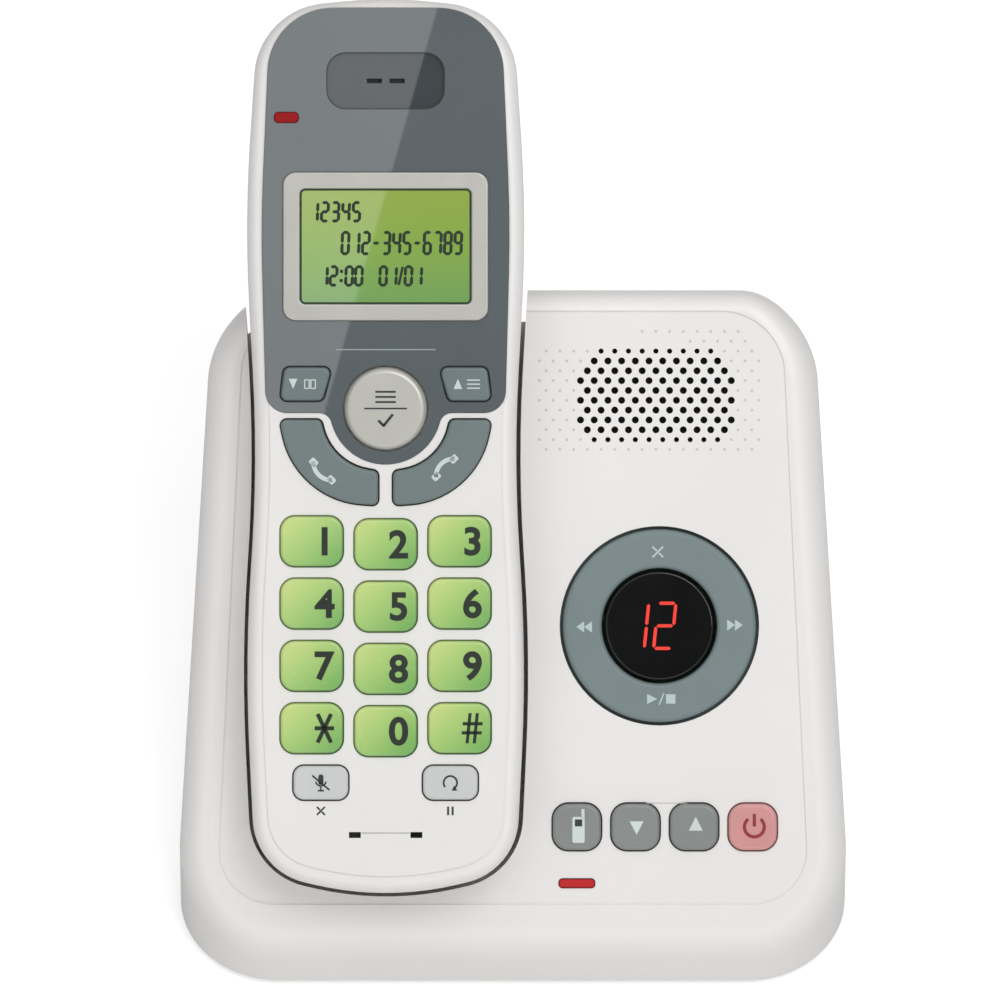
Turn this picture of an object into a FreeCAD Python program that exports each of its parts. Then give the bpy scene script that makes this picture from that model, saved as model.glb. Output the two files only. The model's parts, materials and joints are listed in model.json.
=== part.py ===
import FreeCAD, Part
import math
import os
import Sketcher
from FreeCAD import Placement, Rotation, Vector

# Cordless telephone base with a digital answering machine, its handset standing in the cradle.
# The base is a wedge whose sloping deck carries the cradle on the left and the answering
# machine's keys on the right. +Z is up, +X is to the right and the front looks along -Y.
# All lengths are in millimetres and all angles in degrees.

SIZES = {
    # the wedge of the base
    "base_front_width": 126.9,
    "base_rear_width": 111.6,
    "base_depth": 103.0,
    "base_front_corner": 18.4,
    "base_rear_corner": 14.5,
    "base_front_reach": 73.0,  # from the middle of the whole machine to the front of the base
    "base_wall": 2.4,
    "lip_height": 12.6,
    "deck_tilt": 35.0,
    "rim_front_round": 9.0,
    "rim_side_round": 5.5,
    "rim_rear_round": 4.0,
    "desk_gap": 1.2,  # from the desk to the lower edge of the base
    # the sunk panel of the deck
    "panel_start": 7.7,
    "panel_end": 118.2,
    "panel_front_width": 110.4,
    "panel_rear_width": 100.2,
    "panel_front_corner": 10.2,
    "panel_rear_corner": 12.0,
    "panel_sink": 0.4,
    # the handset's outline, measured from its lower end along its middle line
    "handset_offset": 23.6,
    "handset_start": 10.3,  # from the deck's front edge to the handset's lower end
    "handset_proud": 14.0,  # the handset's face above the deck
    "handset_end_bow": 1.73,
    "handset_end_bow_radius": 58.0,
    "handset_foot_width": 48.4,
    "handset_foot_rise": 3.9,
    "handset_foot_corner": 12.5,
    "handset_hip_width": 52.2,
    "handset_hip_rise": 43.0,
    "handset_hip_radius": 300.0,
    "handset_waist_width": 47.4,
    "handset_waist_rise": 80.0,
    "handset_waist_radius": 280.0,
    "handset_chest_width": 52.4,
    "handset_chest_rise": 124.0,
    "handset_chest_radius": 260.0,
    "handset_head_width": 47.2,
    "handset_head_rise": 163.6,
    "handset_head_corner": 14.0,
    "handset_crown_rise": 166.0,
    "handset_crown_radius": 80.0,
    # the handset's depth
    "handset_depth": 27.0,
    "handset_foot_depth": 18.0,
    "handset_foot_slope": 22.0,  # from the lower end to where the back is thickest
    "handset_head_depth": 18.5,
    "handset_head_slope": 106.0,  # from the lower end to where the back starts to thin
    "handset_split": 11.0,  # from the face to the seam of the two housings
    "handset_wall": 2.2,
    "handset_edge_round": 2.5,
    "handset_back_round": 6.0,
    "face_step": 0.35,
    "face_inset": 2.8,
    "seam_bevel": 0.3,
    # the slate panel on the handset's face
    "slate_bottom": 88.9,
    "slate_bottom_width": 44.2,
    "slate_bottom_corner": 4.0,
    "slate_chest_width": 46.0,
    "slate_top": 163.9,
    "slate_top_width": 42.6,
    "slate_top_corner": 12.0,
    "slate_thickness": 1.2,
    "slate_sink": 1.0,
    "slate_lobe_radius": 10.3,
    "slate_lobe_blend": 2.4,
    # the display of the handset
    "lcd_rise": 119.7,
    "lcd_frame_width": 38.1,
    "lcd_frame_height": 27.5,
    "lcd_frame_corner": 2.4,
    "lcd_frame_proud": 0.7,
    "lcd_frame_round": 0.35,
    "lcd_window_width": 31.8,
    "lcd_window_height": 21.4,
    "lcd_window_corner": 1.0,
    "lcd_window_proud": 0.25,
    "lcd_seat": 1.2,  # width of the ledge that the frame stands on
    # the earpiece and the charging lamp
    "earpiece_rise": 150.4,
    "earpiece_width": 21.6,
    "earpiece_height": 10.2,
    "earpiece_corner": 3.4,
    "earpiece_sink": 0.7,
    "earpiece_slot_width": 2.8,
    "earpiece_slot_height": 0.9,
    "earpiece_slot_pitch": 4.2,
    "receiver_radius": 6.5,
    "receiver_thickness": 3.0,
    "charge_lamp_offset": 18.4,
    "charge_lamp_rise": 143.6,
    "charge_lamp_width": 4.5,
    "charge_lamp_height": 1.9,
    "charge_lamp_corner": 0.8,
    "charge_lamp_proud": 0.6,
    "charge_lamp_round": 0.3,
    # keys of the handset
    "key_gap": 0.3,
    "key_flange": 0.65,
    "key_flange_thickness": 0.8,
    "key_lift": 0.2,  # from a key's flange to the wall above it
    "key_travel": 0.8,
    "key_stop_gap": 0.1,  # left between a pressed key and what it presses
    "key_proud": 0.9,
    "key_edge_round": 0.55,
    "dial_key_width": 11.44,
    "dial_key_height": 9.17,
    "dial_key_corner": 2.6,
    "dial_column_pitch": 13.7,
    "dial_row_pitch": 11.55,
    "dial_top_row_rise": 65.05,
    "dial_middle_drop": 0.55,
    "side_key_offset": 12.0,
    "side_key_rise": 20.3,
    "side_key_width": 10.1,
    "side_key_height": 6.25,
    "side_key_corner": 1.9,
    "menu_key_rise": 89.65,
    "menu_key_radius": 7.7,
    "menu_key_round": 1.2,
    "call_key_reach": 19.7,
    "call_key_top": 87.6,
    "call_key_bottom": 71.7,
    "call_key_inner_side": 1.4,
    "call_key_belly_reach": 16.5,
    "call_key_belly_rise": 72.8,
    "call_key_belly_radius": 16.0,
    "call_key_hollow_reach": 10.2,
    "call_key_hollow_rise": 79.5,
    "call_key_hollow_radius": 10.4,
    "call_key_shoulder": 12.0,
    "call_key_throat": 78.0,
    "call_key_corner": 1.1,
    "volume_key_top": 97.3,
    "volume_key_bottom": 91.1,
    "volume_key_top_inner": 9.9,
    "volume_key_top_outer": 18.8,
    "volume_key_bottom_inner": 11.7,
    "volume_key_bottom_outer": 19.6,
    "volume_key_corner": 1.2,
    # inside the handset
    "keypad_mat_start": 14.6,
    "keypad_mat_end": 105.0,
    "keypad_mat_width": 41.0,
    "keypad_mat_corner": 2.6,
    "keypad_mat_thickness": 1.3,
    "handset_board_thickness": 1.2,
    "handset_board_start": 7.0,
    "handset_board_end": 157.0,
    "handset_board_width": 42.0,
    "handset_board_corner": 6.0,
    "microphone_rise": 10.6,
    "microphone_radius": 3.0,
    "microphone_thickness": 2.2,
    "microphone_slot_offset": 5.7,
    "microphone_slot_width": 2.2,
    "microphone_slot_height": 1.1,
    "battery_cell_radius": 5.2,
    "battery_cell_length": 44.0,
    "battery_start": 47.5,
    "battery_well_width": 23.0,
    "battery_well_length": 47.0,
    "battery_well_floor": 12.6,
    "battery_well_wall": 2.2,
    "battery_well_corner": 1.0,
    "battery_cell_gap": 0.4,
    # the battery door and the charging contacts
    "door_start": 32.0,
    "door_end": 98.0,
    "door_width": 39.0,
    "door_corner": 3.0,
    "door_thickness": 2.0,
    "door_gap": 0.2,
    "door_edge_round": 0.55,
    "door_grip_rise": 9.0,  # from the door's lower edge to its first grip groove
    "door_grip_pitch": 2.0,
    "door_grip_width": 13.0,
    "door_grip_height": 1.0,
    "door_grip_depth": 0.4,
    "contact_offset": 7.0,
    "contact_rise": 20.5,
    "contact_width": 4.0,
    "contact_length": 6.0,
    "contact_thickness": 0.5,
    "contact_sink": 0.3,
    "contact_tab_width": 6.0,
    "contact_tab_length": 8.0,
    "contact_finger_width": 2.0,
    "contact_finger_length": 3.0,
    "contact_finger_round": 0.5,
    "contact_finger_gap": 0.3,  # from a finger's tip to the handset's contact
    "contact_slot_gap": 0.4,
    "handset_screw_offset": 18.0,
    "handset_screw_rise": 137.5,
    "handset_screw_radius": 1.1,
    "handset_screw_head_radius": 2.2,
    "handset_screw_head_height": 1.4,
    "handset_screw_seat": 19.1,  # from the face to where the heads bear
    "handset_screw_end_gap": 2.4,
    "handset_hollow_start": 10.0,
    "handset_hollow_end": 131.0,
    "handset_hollow_width": 40.0,
    "handset_hollow_corner": 6.0,
    "handset_hollow_floor": 19.5,
    # the cradle
    "cradle_gap": 0.8,
    "cradle_floor_gap": 0.5,
    "cradle_wall": 2.2,
    "cradle_slope": 18.0,
    # the answering machine's ring key and message counter
    "ring_offset": 27.25,
    "ring_rise": 59.6,
    "ring_radius": 17.95,
    "ring_gap": 0.6,
    "ring_hole_radius": 10.7,
    "ring_proud": 0.3,
    "ring_edge_round": 0.9,
    "ring_flange": 1.3,
    "ring_flange_thickness": 0.8,
    "ring_flange_drop": 1.0,
    "ring_web_gap": 0.9,
    "ring_web_thickness": 0.8,
    "ring_web_inset": 0.95,
    "counter_lens_radius": 10.1,
    "counter_lens_thickness": 2.2,
    "counter_lens_proud": 0.1,
    "counter_lens_round": 0.4,
    "counter_module_width": 15.0,
    "counter_module_height": 11.0,
    # the row of keys at the front of the deck
    "base_key_first": 11.9,
    "base_key_pitch": 10.9,
    "base_key_rise": 22.2,
    "base_key_width": 8.9,
    "base_key_height": 8.6,
    "base_key_corner": 2.9,
    "base_key_proud": 1.1,
    "base_key_edge_round": 0.7,
    "base_key_stem": 3.4,
    "in_use_rise": 11.7,
    "in_use_width": 6.5,
    "in_use_height": 1.5,
    "in_use_corner": 0.6,
    "in_use_proud": 0.3,
    # the loudspeaker and its grille
    "grille_offset": 26.6,
    "grille_top": 110.7,
    "grille_row_pitch": 1.83,
    "grille_hole_pitch": 2.55,
    "grille_hole_radius": 0.65,
    "grille_end_hole_radius": 0.48,
    "speaker_radius": 13.2,
    "speaker_rise": 102.5,
    "speaker_thickness": 6.0,
    "speaker_magnet_radius": 7.0,
    "speaker_magnet_thickness": 3.0,
    "speaker_collar_gap": 0.2,
    "speaker_collar_wall": 1.2,
    "speaker_collar_depth": 3.0,
    # the circuit board under the deck
    "board_depth": 11.4,
    "board_thickness": 1.6,
    "board_left": 7.0,
    "board_right": 50.0,
    "board_start": 8.5,
    "board_end": 84.0,
    "board_corner": 1.0,
    "board_post_radius": 2.3,
    "board_post_left": 10.2,
    "board_post_right": 46.6,
    "board_post_low": 33.2,
    "board_post_high": 80.0,
    "switch_width": 6.0,
    "switch_button_radius": 1.7,
    "switch_button_height": 1.0,
    "ring_switch_reach": 14.0,
    "shield_width": 24.0,
    "shield_length": 17.0,
    "shield_height": 3.4,
    "shield_corner": 1.0,
    "shield_rise": 42.0,
    "antenna_width": 20.0,
    "antenna_bar": 2.4,
    "antenna_height": 7.0,
    "antenna_rise": 72.0,
    "antenna_thickness": 0.8,
    # the bottom cover, its screws and feet
    "cover_gap": 0.2,
    "seat_gap": 0.2,  # round a piece that sits in a recess
    "pane_gap": 0.1,  # round the panes and trims of the handset's face
    "post_root": 0.3,  # how far a post reaches into the wall that it stands on
    "cover_thickness": 2.0,
    "boss_radius": 3.2,
    "boss_front_offset": 54.0,
    "boss_front_place": 24.0,
    "boss_rear_offset": 49.6,
    "boss_rear_place": 84.0,
    "screw_radius": 1.4,
    "screw_fit": 0.05,
    "screw_length": 8.0,
    "screw_head_radius": 2.8,
    "screw_head_height": 1.1,
    "screw_hole_depth": 9.5,
    "foot_radius": 5.5,
    "foot_sink": 0.5,
    "foot_offset": 41.0,
    "foot_front_place": 13.0,
    "foot_rear_place": 92.0,
    # the sockets in the back
    "socket_board_width": 46.0,
    "socket_board_length": 22.0,
    "socket_board_thickness": 1.6,
    "socket_board_lift": 3.0,
    "socket_board_corner": 1.0,
    "socket_board_post_radius": 2.4,
    "socket_board_post_inset": 4.0,
    "socket_offset": 12.0,
    "socket_gap": 0.2,
    "socket_recess": 0.4,
    "line_socket_width": 13.4,
    "line_socket_height": 11.6,
    "line_socket_depth": 15.0,
    "line_mouth_width": 9.8,
    "line_mouth_height": 7.0,
    "line_mouth_depth": 11.0,
    "line_latch_width": 4.4,
    "line_latch_height": 1.6,
    "power_socket_width": 9.6,
    "power_socket_depth": 13.0,
    "power_bore_radius": 3.2,
    "power_bore_depth": 9.5,
    "power_pin_radius": 0.9,
    "power_pin_end_gap": 1.2,
}

GRILLE_ROWS = (9, 10, 11, 12, 11, 12, 11, 12, 11, 10)
DIAL_KEYS = (("1", "2", "3"), ("4", "5", "6"), ("7", "8", "9"), ("star", "0", "hash"))
BASE_KEYS = ("find_handset_button", "volume_down_button", "volume_up_button", "answer_power_button")
DOOR_GRIP_ROWS = 4
NEAR = 1e-4

doc = FreeCAD.newDocument("answering_machine")
sheet = doc.addObject("Spreadsheet::Sheet", "sizes")
pieces = []


def fill_sheet():
    """Write every driving dimension in the sheet, under an alias of its own."""
    for row, (name, value) in enumerate(SIZES.items(), start=1):
        sheet.set(f"A{row}", name)
        sheet.set(f"B{row}", str(value))
        sheet.setAlias(f"B{row}", name)
    doc.recompute()


class Size:
    """A number with the expression that ties it to the sheet."""

    def __init__(self, number, text):
        self.number = number
        self.text = text

    def __add__(self, other):
        return Size(self.number + number(other), f"({self.text} + {text(other)})")

    def __radd__(self, other):
        return Size(number(other) + self.number, f"({text(other)} + {self.text})")

    def __sub__(self, other):
        return Size(self.number - number(other), f"({self.text} - {text(other)})")

    def __rsub__(self, other):
        return Size(number(other) - self.number, f"({text(other)} - {self.text})")

    def __mul__(self, other):
        return Size(self.number * number(other), f"({self.text} * {text(other)})")

    def __rmul__(self, other):
        return Size(number(other) * self.number, f"({text(other)} * {self.text})")

    def __truediv__(self, other):
        return Size(self.number / number(other), f"({self.text} / {text(other)})")

    def __rtruediv__(self, other):
        return Size(number(other) / self.number, f"({text(other)} / {self.text})")

    def __neg__(self):
        return Size(-self.number, f"(-{self.text})")


def number(size):
    """The value of a size or of a plain number."""
    return size.number if isinstance(size, Size) else float(size)


def text(size):
    """The expression of a size or of a plain number."""
    return size.text if isinstance(size, Size) else repr(float(size))


def cosine(angle):
    return Size(math.cos(math.radians(angle.number)), f"cos({angle.text})")


def sine(angle):
    return Size(math.sin(math.radians(angle.number)), f"sin({angle.text})")


class Sheet:
    """Gives each driving dimension as an attribute, read from the sheet."""

    def __getattr__(self, name):
        return Size(float(sheet.get(name)), f"sizes.{name}")


size = Sheet()


def bind(thing, path, value):
    """Tie a property to the sheet; a plain number needs no tie."""
    if isinstance(value, Size):
        thing.setExpression(path, value.text)


# frames, bodies and sketches


def world_frame():
    return 0, 0, 0, 0


def deck_point(across, up, out):
    """A point of the sloping deck in the machine's frame; out is measured square to the deck."""
    tilt = size.deck_tilt
    y = up * cosine(tilt) - out * sine(tilt) - size.base_front_reach
    z = up * sine(tilt) + out * cosine(tilt) + size.lip_height
    return across, y, z


def deck_frame():
    """Origin on the deck's front edge, X across, Y up the slope and Z out of the deck."""
    return 0, -size.base_front_reach, size.lip_height, size.deck_tilt


def handset_frame():
    """Origin on the handset's face at its lower end, Y along the handset and Z out of its face."""
    across, y, z = deck_point(-size.handset_offset, size.handset_start, size.handset_proud)
    return across, y, z, size.deck_tilt


def new_body(label, frame, is_piece=True):
    """A body in one of the frames; a piece of the machine is written to a file of its own."""
    body = doc.addObject("PartDesign::Body", label)
    body.Label = label
    body.AllowCompound = True
    x, y, z, tilt = frame()
    base = Vector(number(x), number(y), number(z))
    body.Placement = Placement(base, Rotation(Vector(1, 0, 0), number(tilt)))
    bind(body, "Placement.Base.x", x)
    bind(body, "Placement.Base.y", y)
    bind(body, "Placement.Base.z", z)
    bind(body, "Placement.Rotation.Angle", tilt)
    if is_piece:
        pieces.append(body)
    return body


def new_sketch(body, label, level, plane="XY_Plane"):
    """A sketch on a plane of its body's origin, moved out along the plane's normal by level."""
    sketch = body.newObject("Sketcher::SketchObject", f"{body.Name}_{label}")
    role = next(feature for feature in body.Origin.OriginFeatures if feature.Role == plane)
    sketch.AttachmentSupport = (role, [""])
    sketch.MapMode = "FlatFace"
    sketch.AttachmentOffset = Placement(Vector(0, 0, number(level)), Rotation())
    bind(sketch, "AttachmentOffset.Base.z", level)
    return sketch


class Drawing:
    """Collects the circles and outlines of one sketch and ties them to the sheet in one go."""

    def __init__(self, sketch):
        self.sketch = sketch
        self.rules = []
        self.values = []

    def rule(self, *terms, value=None):
        if value is not None:
            terms += (number(value),)
        self.rules.append(Sketcher.Constraint(*terms))
        self.values.append(value)

    def pin(self, element, spot, x, y):
        """Hold a point of the sketch at x, y from the origin."""
        self.rule("DistanceX", -1, 1, element, spot, value=x)
        self.rule("DistanceY", -1, 1, element, spot, value=y)

    def circle(self, x, y, radius):
        centre = Vector(number(x), number(y), 0)
        circle = Part.Circle(centre, Vector(0, 0, 1), number(radius))
        element = self.sketch.addGeometry(circle, False)
        self.pin(element, 3, x, y)
        self.rule("Radius", element, value=radius)

    def outline(self, corners):
        """Draw a closed outline of straight runs; each corner is x, y and a rounding radius or 0."""
        count = len(corners)
        points = [Vector(number(x), number(y), 0) for x, y, radius in corners]
        rounds = [self.rounding(points, index, number(corners[index][2])) for index in range(count)]
        lines = []
        for index in range(count):
            run = Part.LineSegment(rounds[index][1], rounds[(index + 1) % count][0])
            lines.append(self.sketch.addGeometry(run, False))
        for index, (start, end, centre, turns_left) in enumerate(rounds):
            x, y, radius = corners[index]
            before, after = lines[index - 1], lines[index]
            if not number(radius):
                self.rule("Coincident", before, 2, after, 1)
                self.pin(after, 1, x, y)
                continue
            first, last = (start, end) if turns_left else (end, start)
            angles = [math.atan2(spot.y - centre.y, spot.x - centre.x) for spot in (first, last)]
            if angles[1] < angles[0]:
                angles[1] += 2 * math.pi
            circle = Part.Circle(centre, Vector(0, 0, 1), number(radius))
            arc = self.sketch.addGeometry(Part.ArcOfCircle(circle, *angles), False)
            spots = (1, 2) if turns_left else (2, 1)
            self.rule("Tangent", before, 2, arc, spots[0])
            self.rule("Tangent", arc, spots[1], after, 1)
            self.rule("Radius", arc, value=radius)
            peak = self.sketch.addGeometry(Part.Point(points[index]), True)
            self.rule("PointOnObject", peak, 1, before)
            self.rule("PointOnObject", peak, 1, after)
            self.pin(peak, 1, x, y)

    @staticmethod
    def rounding(points, index, radius):
        """Where the rounding of a corner starts and ends, its centre, and whether it turns left."""
        here = points[index]
        back = (points[index - 1] - here).normalize()
        ahead = (points[(index + 1) % len(points)] - here).normalize()
        half = back.getAngle(ahead) / 2
        reach = radius / math.tan(half)
        centre = here + (back + ahead).normalize() * (radius / math.sin(half))
        return here + back * reach, here + ahead * reach, centre, back.cross(ahead).z < 0

    def finish(self):
        self.sketch.addConstraint(self.rules)
        for place, value in enumerate(self.values):
            bind(self.sketch, f"Constraints[{place}]", value)


def rectangle(x, y, width, height, corner):
    """Corners of a rounded rectangle about its middle."""
    left, right = x - width / 2, x + width / 2
    low, high = y - height / 2, y + height / 2
    return [(left, low, corner), (right, low, corner), (right, high, corner), (left, high, corner)]


def mirrored(half):
    """An outline from the corners of its right half, the last and first of which may be on x = 0."""
    other = [(-x, y, radius) for x, y, radius in reversed(half) if number(x)]
    return list(half) + other


def flipped(corners):
    """The same outline on the other side of the middle line."""
    return [(-x, y, radius) for x, y, radius in corners]


def draw(body, label, level, plane, shapes):
    """A sketch of circles, each a tuple of x, y, radius, and outlines, each a list of corners."""
    drawing = Drawing(new_sketch(body, f"{label}_outline", level, plane))
    for shape in shapes:
        if isinstance(shape, tuple):
            drawing.circle(*shape)
        else:
            drawing.outline(shape)
    drawing.finish()
    return drawing.sketch


def pad(body, label, level, height, *shapes, plane="XY_Plane"):
    """Add material from level up by height over the shapes."""
    sketch = draw(body, label, level, plane, shapes)
    feature = body.newObject("PartDesign::Pad", f"{body.Name}_{label}")
    feature.Profile = sketch
    feature.Length = number(height)
    bind(feature, "Length", height)
    body.Tip = feature
    return feature


def pocket(body, label, level, height, *shapes, plane="XY_Plane"):
    """Take material away from level up by height over the shapes."""
    sketch = draw(body, label, level, plane, shapes)
    feature = body.newObject("PartDesign::Pocket", f"{body.Name}_{label}")
    feature.Profile = sketch
    feature.Reversed = True
    feature.Refine = False
    feature.Length = number(height)
    bind(feature, "Length", height)
    body.Tip = feature
    return feature


def edges_at(body, level, wanted=lambda middle: True):
    """Names of the edges of a body that lie at one level and whose middle is wanted."""
    doc.recompute()
    names = []
    for index, edge in enumerate(body.Tip.Shape.Edges, start=1):
        middle = edge.valueAt((edge.FirstParameter + edge.LastParameter) / 2)
        heights = [spot.Z for spot in edge.Vertexes] + [middle.z]
        if all(abs(height - number(level)) < NEAR for height in heights) and wanted(middle):
            names.append(f"Edge{index}")
    return names


def round_edges(body, label, radius, names):
    base = body.Tip
    feature = body.newObject("PartDesign::Fillet", f"{body.Name}_{label}")
    feature.Base = (base, names)
    feature.Radius = number(radius)
    bind(feature, "Radius", radius)
    body.Tip = feature
    return feature


def bevel_edges(body, label, width, names):
    base = body.Tip
    feature = body.newObject("PartDesign::Chamfer", f"{body.Name}_{label}")
    feature.Base = (base, names)
    feature.Size = number(width)
    bind(feature, "Size", width)
    body.Tip = feature
    return feature


def cut(label, base, tool):
    feature = doc.addObject("Part::Cut", label)
    feature.Base = base
    feature.Tool = tool
    return feature


def join(label, first, second):
    feature = doc.addObject("Part::Fuse", label)
    feature.Base = first
    feature.Tool = second
    return feature


def overlap(label, first, second):
    feature = doc.addObject("Part::Common", label)
    feature.Base = first
    feature.Tool = second
    return feature


# the base's upper housing


def wedge(label, inset, drop, floor):
    """The wedge of the base, drawn in by inset and its deck lowered by drop, square to the deck."""
    body = new_body(label, world_frame, is_piece=False)
    front = -size.base_front_reach + inset
    rear = size.base_depth - size.base_front_reach - inset
    front_half = size.base_front_width / 2 - inset
    rear_half = size.base_rear_width / 2 - inset
    front_corner = size.base_front_corner - inset
    rear_corner = size.base_rear_corner - inset
    plan = [
        (-front_half, front, front_corner),
        (front_half, front, front_corner),
        (rear_half, rear, rear_corner),
        (-rear_half, rear, rear_corner),
    ]
    slope = sine(size.deck_tilt) / cosine(size.deck_tilt)
    back_height = size.lip_height + size.base_depth * slope
    pad(body, "walls", floor, back_height - floor, plan)
    margin = size.lip_height
    start = -size.base_front_reach - margin
    end = size.base_depth - size.base_front_reach + margin
    edge = size.lip_height - drop / cosine(size.deck_tilt)
    above = [
        (start, edge - margin * slope, 0),
        (end, edge + (size.base_depth + margin) * slope, 0),
        (end, back_height + margin * 3, 0),
        (start, back_height + margin * 3, 0),
    ]
    side = size.base_front_width / 2 + margin
    pocket(body, "deck", -side, side * 2, above, plane="YZ_Plane")
    return body


def rounded_rim(form):
    """Round the deck's edge, most at the front lip and least along the top of the back."""
    doc.recompute()
    front = -number(size.base_front_reach)
    rear = front + number(size.base_depth)
    slope = math.tan(math.radians(number(size.deck_tilt)))

    def radius_at(spot):
        if spot.Y < front + NEAR:
            return number(size.rim_front_round)
        if spot.Y > rear - NEAR:
            return number(size.rim_rear_round)
        return number(size.rim_side_round)

    rounds = []
    for index, edge in enumerate(form.Shape.Edges, start=1):
        ends = edge.Vertexes
        deck = [spot.Z - number(size.lip_height) - (spot.Y - front) * slope for spot in ends]
        if all(abs(height) < NEAR for height in deck):
            rounds.append((index, radius_at(ends[0]), radius_at(ends[-1])))
    rim = doc.addObject("Part::Fillet", "housing_rim")
    rim.Base = form
    rim.Edges = rounds
    return rim


def handset_outline(grow, open_end=None):
    """The handset's outline grown by grow; open_end draws straight sides up to that rise."""
    foot_rise = size.handset_foot_rise - grow
    head_rise = size.handset_head_rise + grow
    half = [
        (0, -size.handset_end_bow - grow, size.handset_end_bow_radius + grow),
        (size.handset_foot_width / 2 + grow, foot_rise, size.handset_foot_corner + grow),
        (size.handset_hip_width / 2 + grow, size.handset_hip_rise, size.handset_hip_radius + grow),
        (size.handset_waist_width / 2 + grow, size.handset_waist_rise, size.handset_waist_radius - grow),
        (size.handset_chest_width / 2 + grow, size.handset_chest_rise, size.handset_chest_radius + grow),
    ]
    if open_end is None:
        half += [
            (size.handset_head_width / 2 + grow, head_rise, size.handset_head_corner + grow),
            (0, size.handset_crown_rise + grow, size.handset_crown_radius + grow),
        ]
    else:
        half.append((size.handset_chest_width / 2 + grow, open_end, 0))
    return mirrored(half)


def trough(label, grow):
    """The room of the cradle grown by grow: the handset's outline with a floor that slopes up in front."""
    body = new_body(label, handset_frame, is_piece=False)
    floor = size.handset_depth + size.cradle_floor_gap + grow
    side_gap = size.cradle_gap + grow
    top = size.base_depth + size.handset_head_rise
    pad(body, "room", -floor, floor, handset_outline(side_gap, open_end=top))
    foot = size.handset_foot_depth + size.cradle_floor_gap + grow
    front = -size.handset_end_bow - side_gap
    margin = size.handset_depth
    run = size.cradle_slope - front
    rise = (floor - foot) / run
    below = [
        (front - margin, -foot + margin * rise, 0),
        (size.cradle_slope, -floor, 0),
        (size.cradle_slope, -floor - margin, 0),
        (front - margin, -floor - margin, 0),
    ]
    side = size.handset_hip_width
    pocket(body, "sloped_floor", -side, side * 2, below, plane="YZ_Plane")
    return body


def deck_panel_outline(grow):
    front_half = size.panel_front_width / 2 + grow
    rear_half = size.panel_rear_width / 2 + grow
    return [
        (-front_half, size.panel_start - grow, size.panel_front_corner),
        (front_half, size.panel_start - grow, size.panel_front_corner),
        (rear_half, size.panel_end + grow, size.panel_rear_corner),
        (-rear_half, size.panel_end + grow, size.panel_rear_corner),
    ]


def base_key_at(index):
    return lambda grow: base_key_outline(index, grow)


def base_key_place(index):
    return size.base_key_first + size.base_key_pitch * index, size.base_key_rise


def base_key_outline(index, grow):
    x, y = base_key_place(index)
    width, height = size.base_key_width + grow * 2, size.base_key_height + grow * 2
    return rectangle(x, y, width, height, size.base_key_corner + grow)


def in_use_outline(grow):
    width, height = size.in_use_width + grow * 2, size.in_use_height + grow * 2
    return rectangle(size.base_key_first, size.in_use_rise, width, height, size.in_use_corner + grow)


def grille_row(row):
    """One row of sound holes about the grille's middle line; the first and last rows are finer."""
    count = GRILLE_ROWS[row]
    ends = row in (0, len(GRILLE_ROWS) - 1)
    radius = size.grille_end_hole_radius if ends else size.grille_hole_radius
    y = size.grille_top - size.grille_row_pitch * row
    steps = [place - (count - 1) / 2 for place in range(count)]
    return [(size.grille_offset + size.grille_hole_pitch * step, y, radius) for step in steps]


def deck_cuts():
    """Everything that is cut through the deck, and the shallow sink of its panel."""
    body = new_body("deck_cuts", deck_frame, is_piece=False)
    depth = size.base_wall * 2
    through = [(size.ring_offset, size.ring_rise, size.ring_radius + size.ring_gap)]
    through += [base_key_outline(index, size.key_gap) for index in range(len(BASE_KEYS))]
    through.append(in_use_outline(size.seat_gap))
    pad(body, "openings", -depth, depth, *through)
    for row in range(len(GRILLE_ROWS)):
        pad(body, f"grille_row_{row}", -depth, depth, *grille_row(row))
    pad(body, "panel_sink", -size.panel_sink, size.base_wall * 3, deck_panel_outline(0))
    return body


def boss_places():
    front = size.boss_front_place - size.base_front_reach
    rear = size.boss_rear_place - size.base_front_reach
    places = [(size.boss_front_offset, front), (-size.boss_front_offset, front)]
    return places + [(size.boss_rear_offset, rear), (-size.boss_rear_offset, rear)]


def cover_top():
    return size.desk_gap + size.cover_thickness


def housing_bosses():
    """Upright posts for the screws of the bottom cover."""
    body = new_body("housing_bosses", world_frame, is_piece=False)
    discs = [(x, y, size.boss_radius) for x, y in boss_places()]
    pad(body, "posts", cover_top(), size.base_depth, *discs)
    return body


def boss_bores():
    body = new_body("boss_bores", world_frame, is_piece=False)
    discs = [(x, y, size.screw_radius + size.screw_fit) for x, y in boss_places()]
    depth = size.screw_hole_depth + size.cover_thickness
    pad(body, "bores", cover_top() - size.cover_thickness, depth, *discs)
    return body


def board_posts():
    """Posts under the deck that carry the circuit board, and the collar round the loudspeaker."""
    body = new_body("board_posts", deck_frame, is_piece=False)
    posts = []
    for x in (size.board_post_left, size.board_post_right):
        for y in (size.board_post_low, size.board_post_high):
            posts.append((x, y, size.board_post_radius))
    pad(body, "posts", -size.board_depth, size.board_depth - size.base_wall + size.post_root, *posts)
    inner = size.speaker_radius + size.speaker_collar_gap
    outer = inner + size.speaker_collar_wall
    depth = size.base_wall + size.speaker_collar_depth
    x, y = size.grille_offset, size.speaker_rise
    pad(body, "collar", -depth, size.speaker_collar_depth + size.post_root, (x, y, outer), (x, y, inner))
    return body


def socket_level():
    """Height of the upper face of the socket board, on which both sockets stand."""
    return cover_top() + size.socket_board_lift + size.socket_board_thickness


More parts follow.
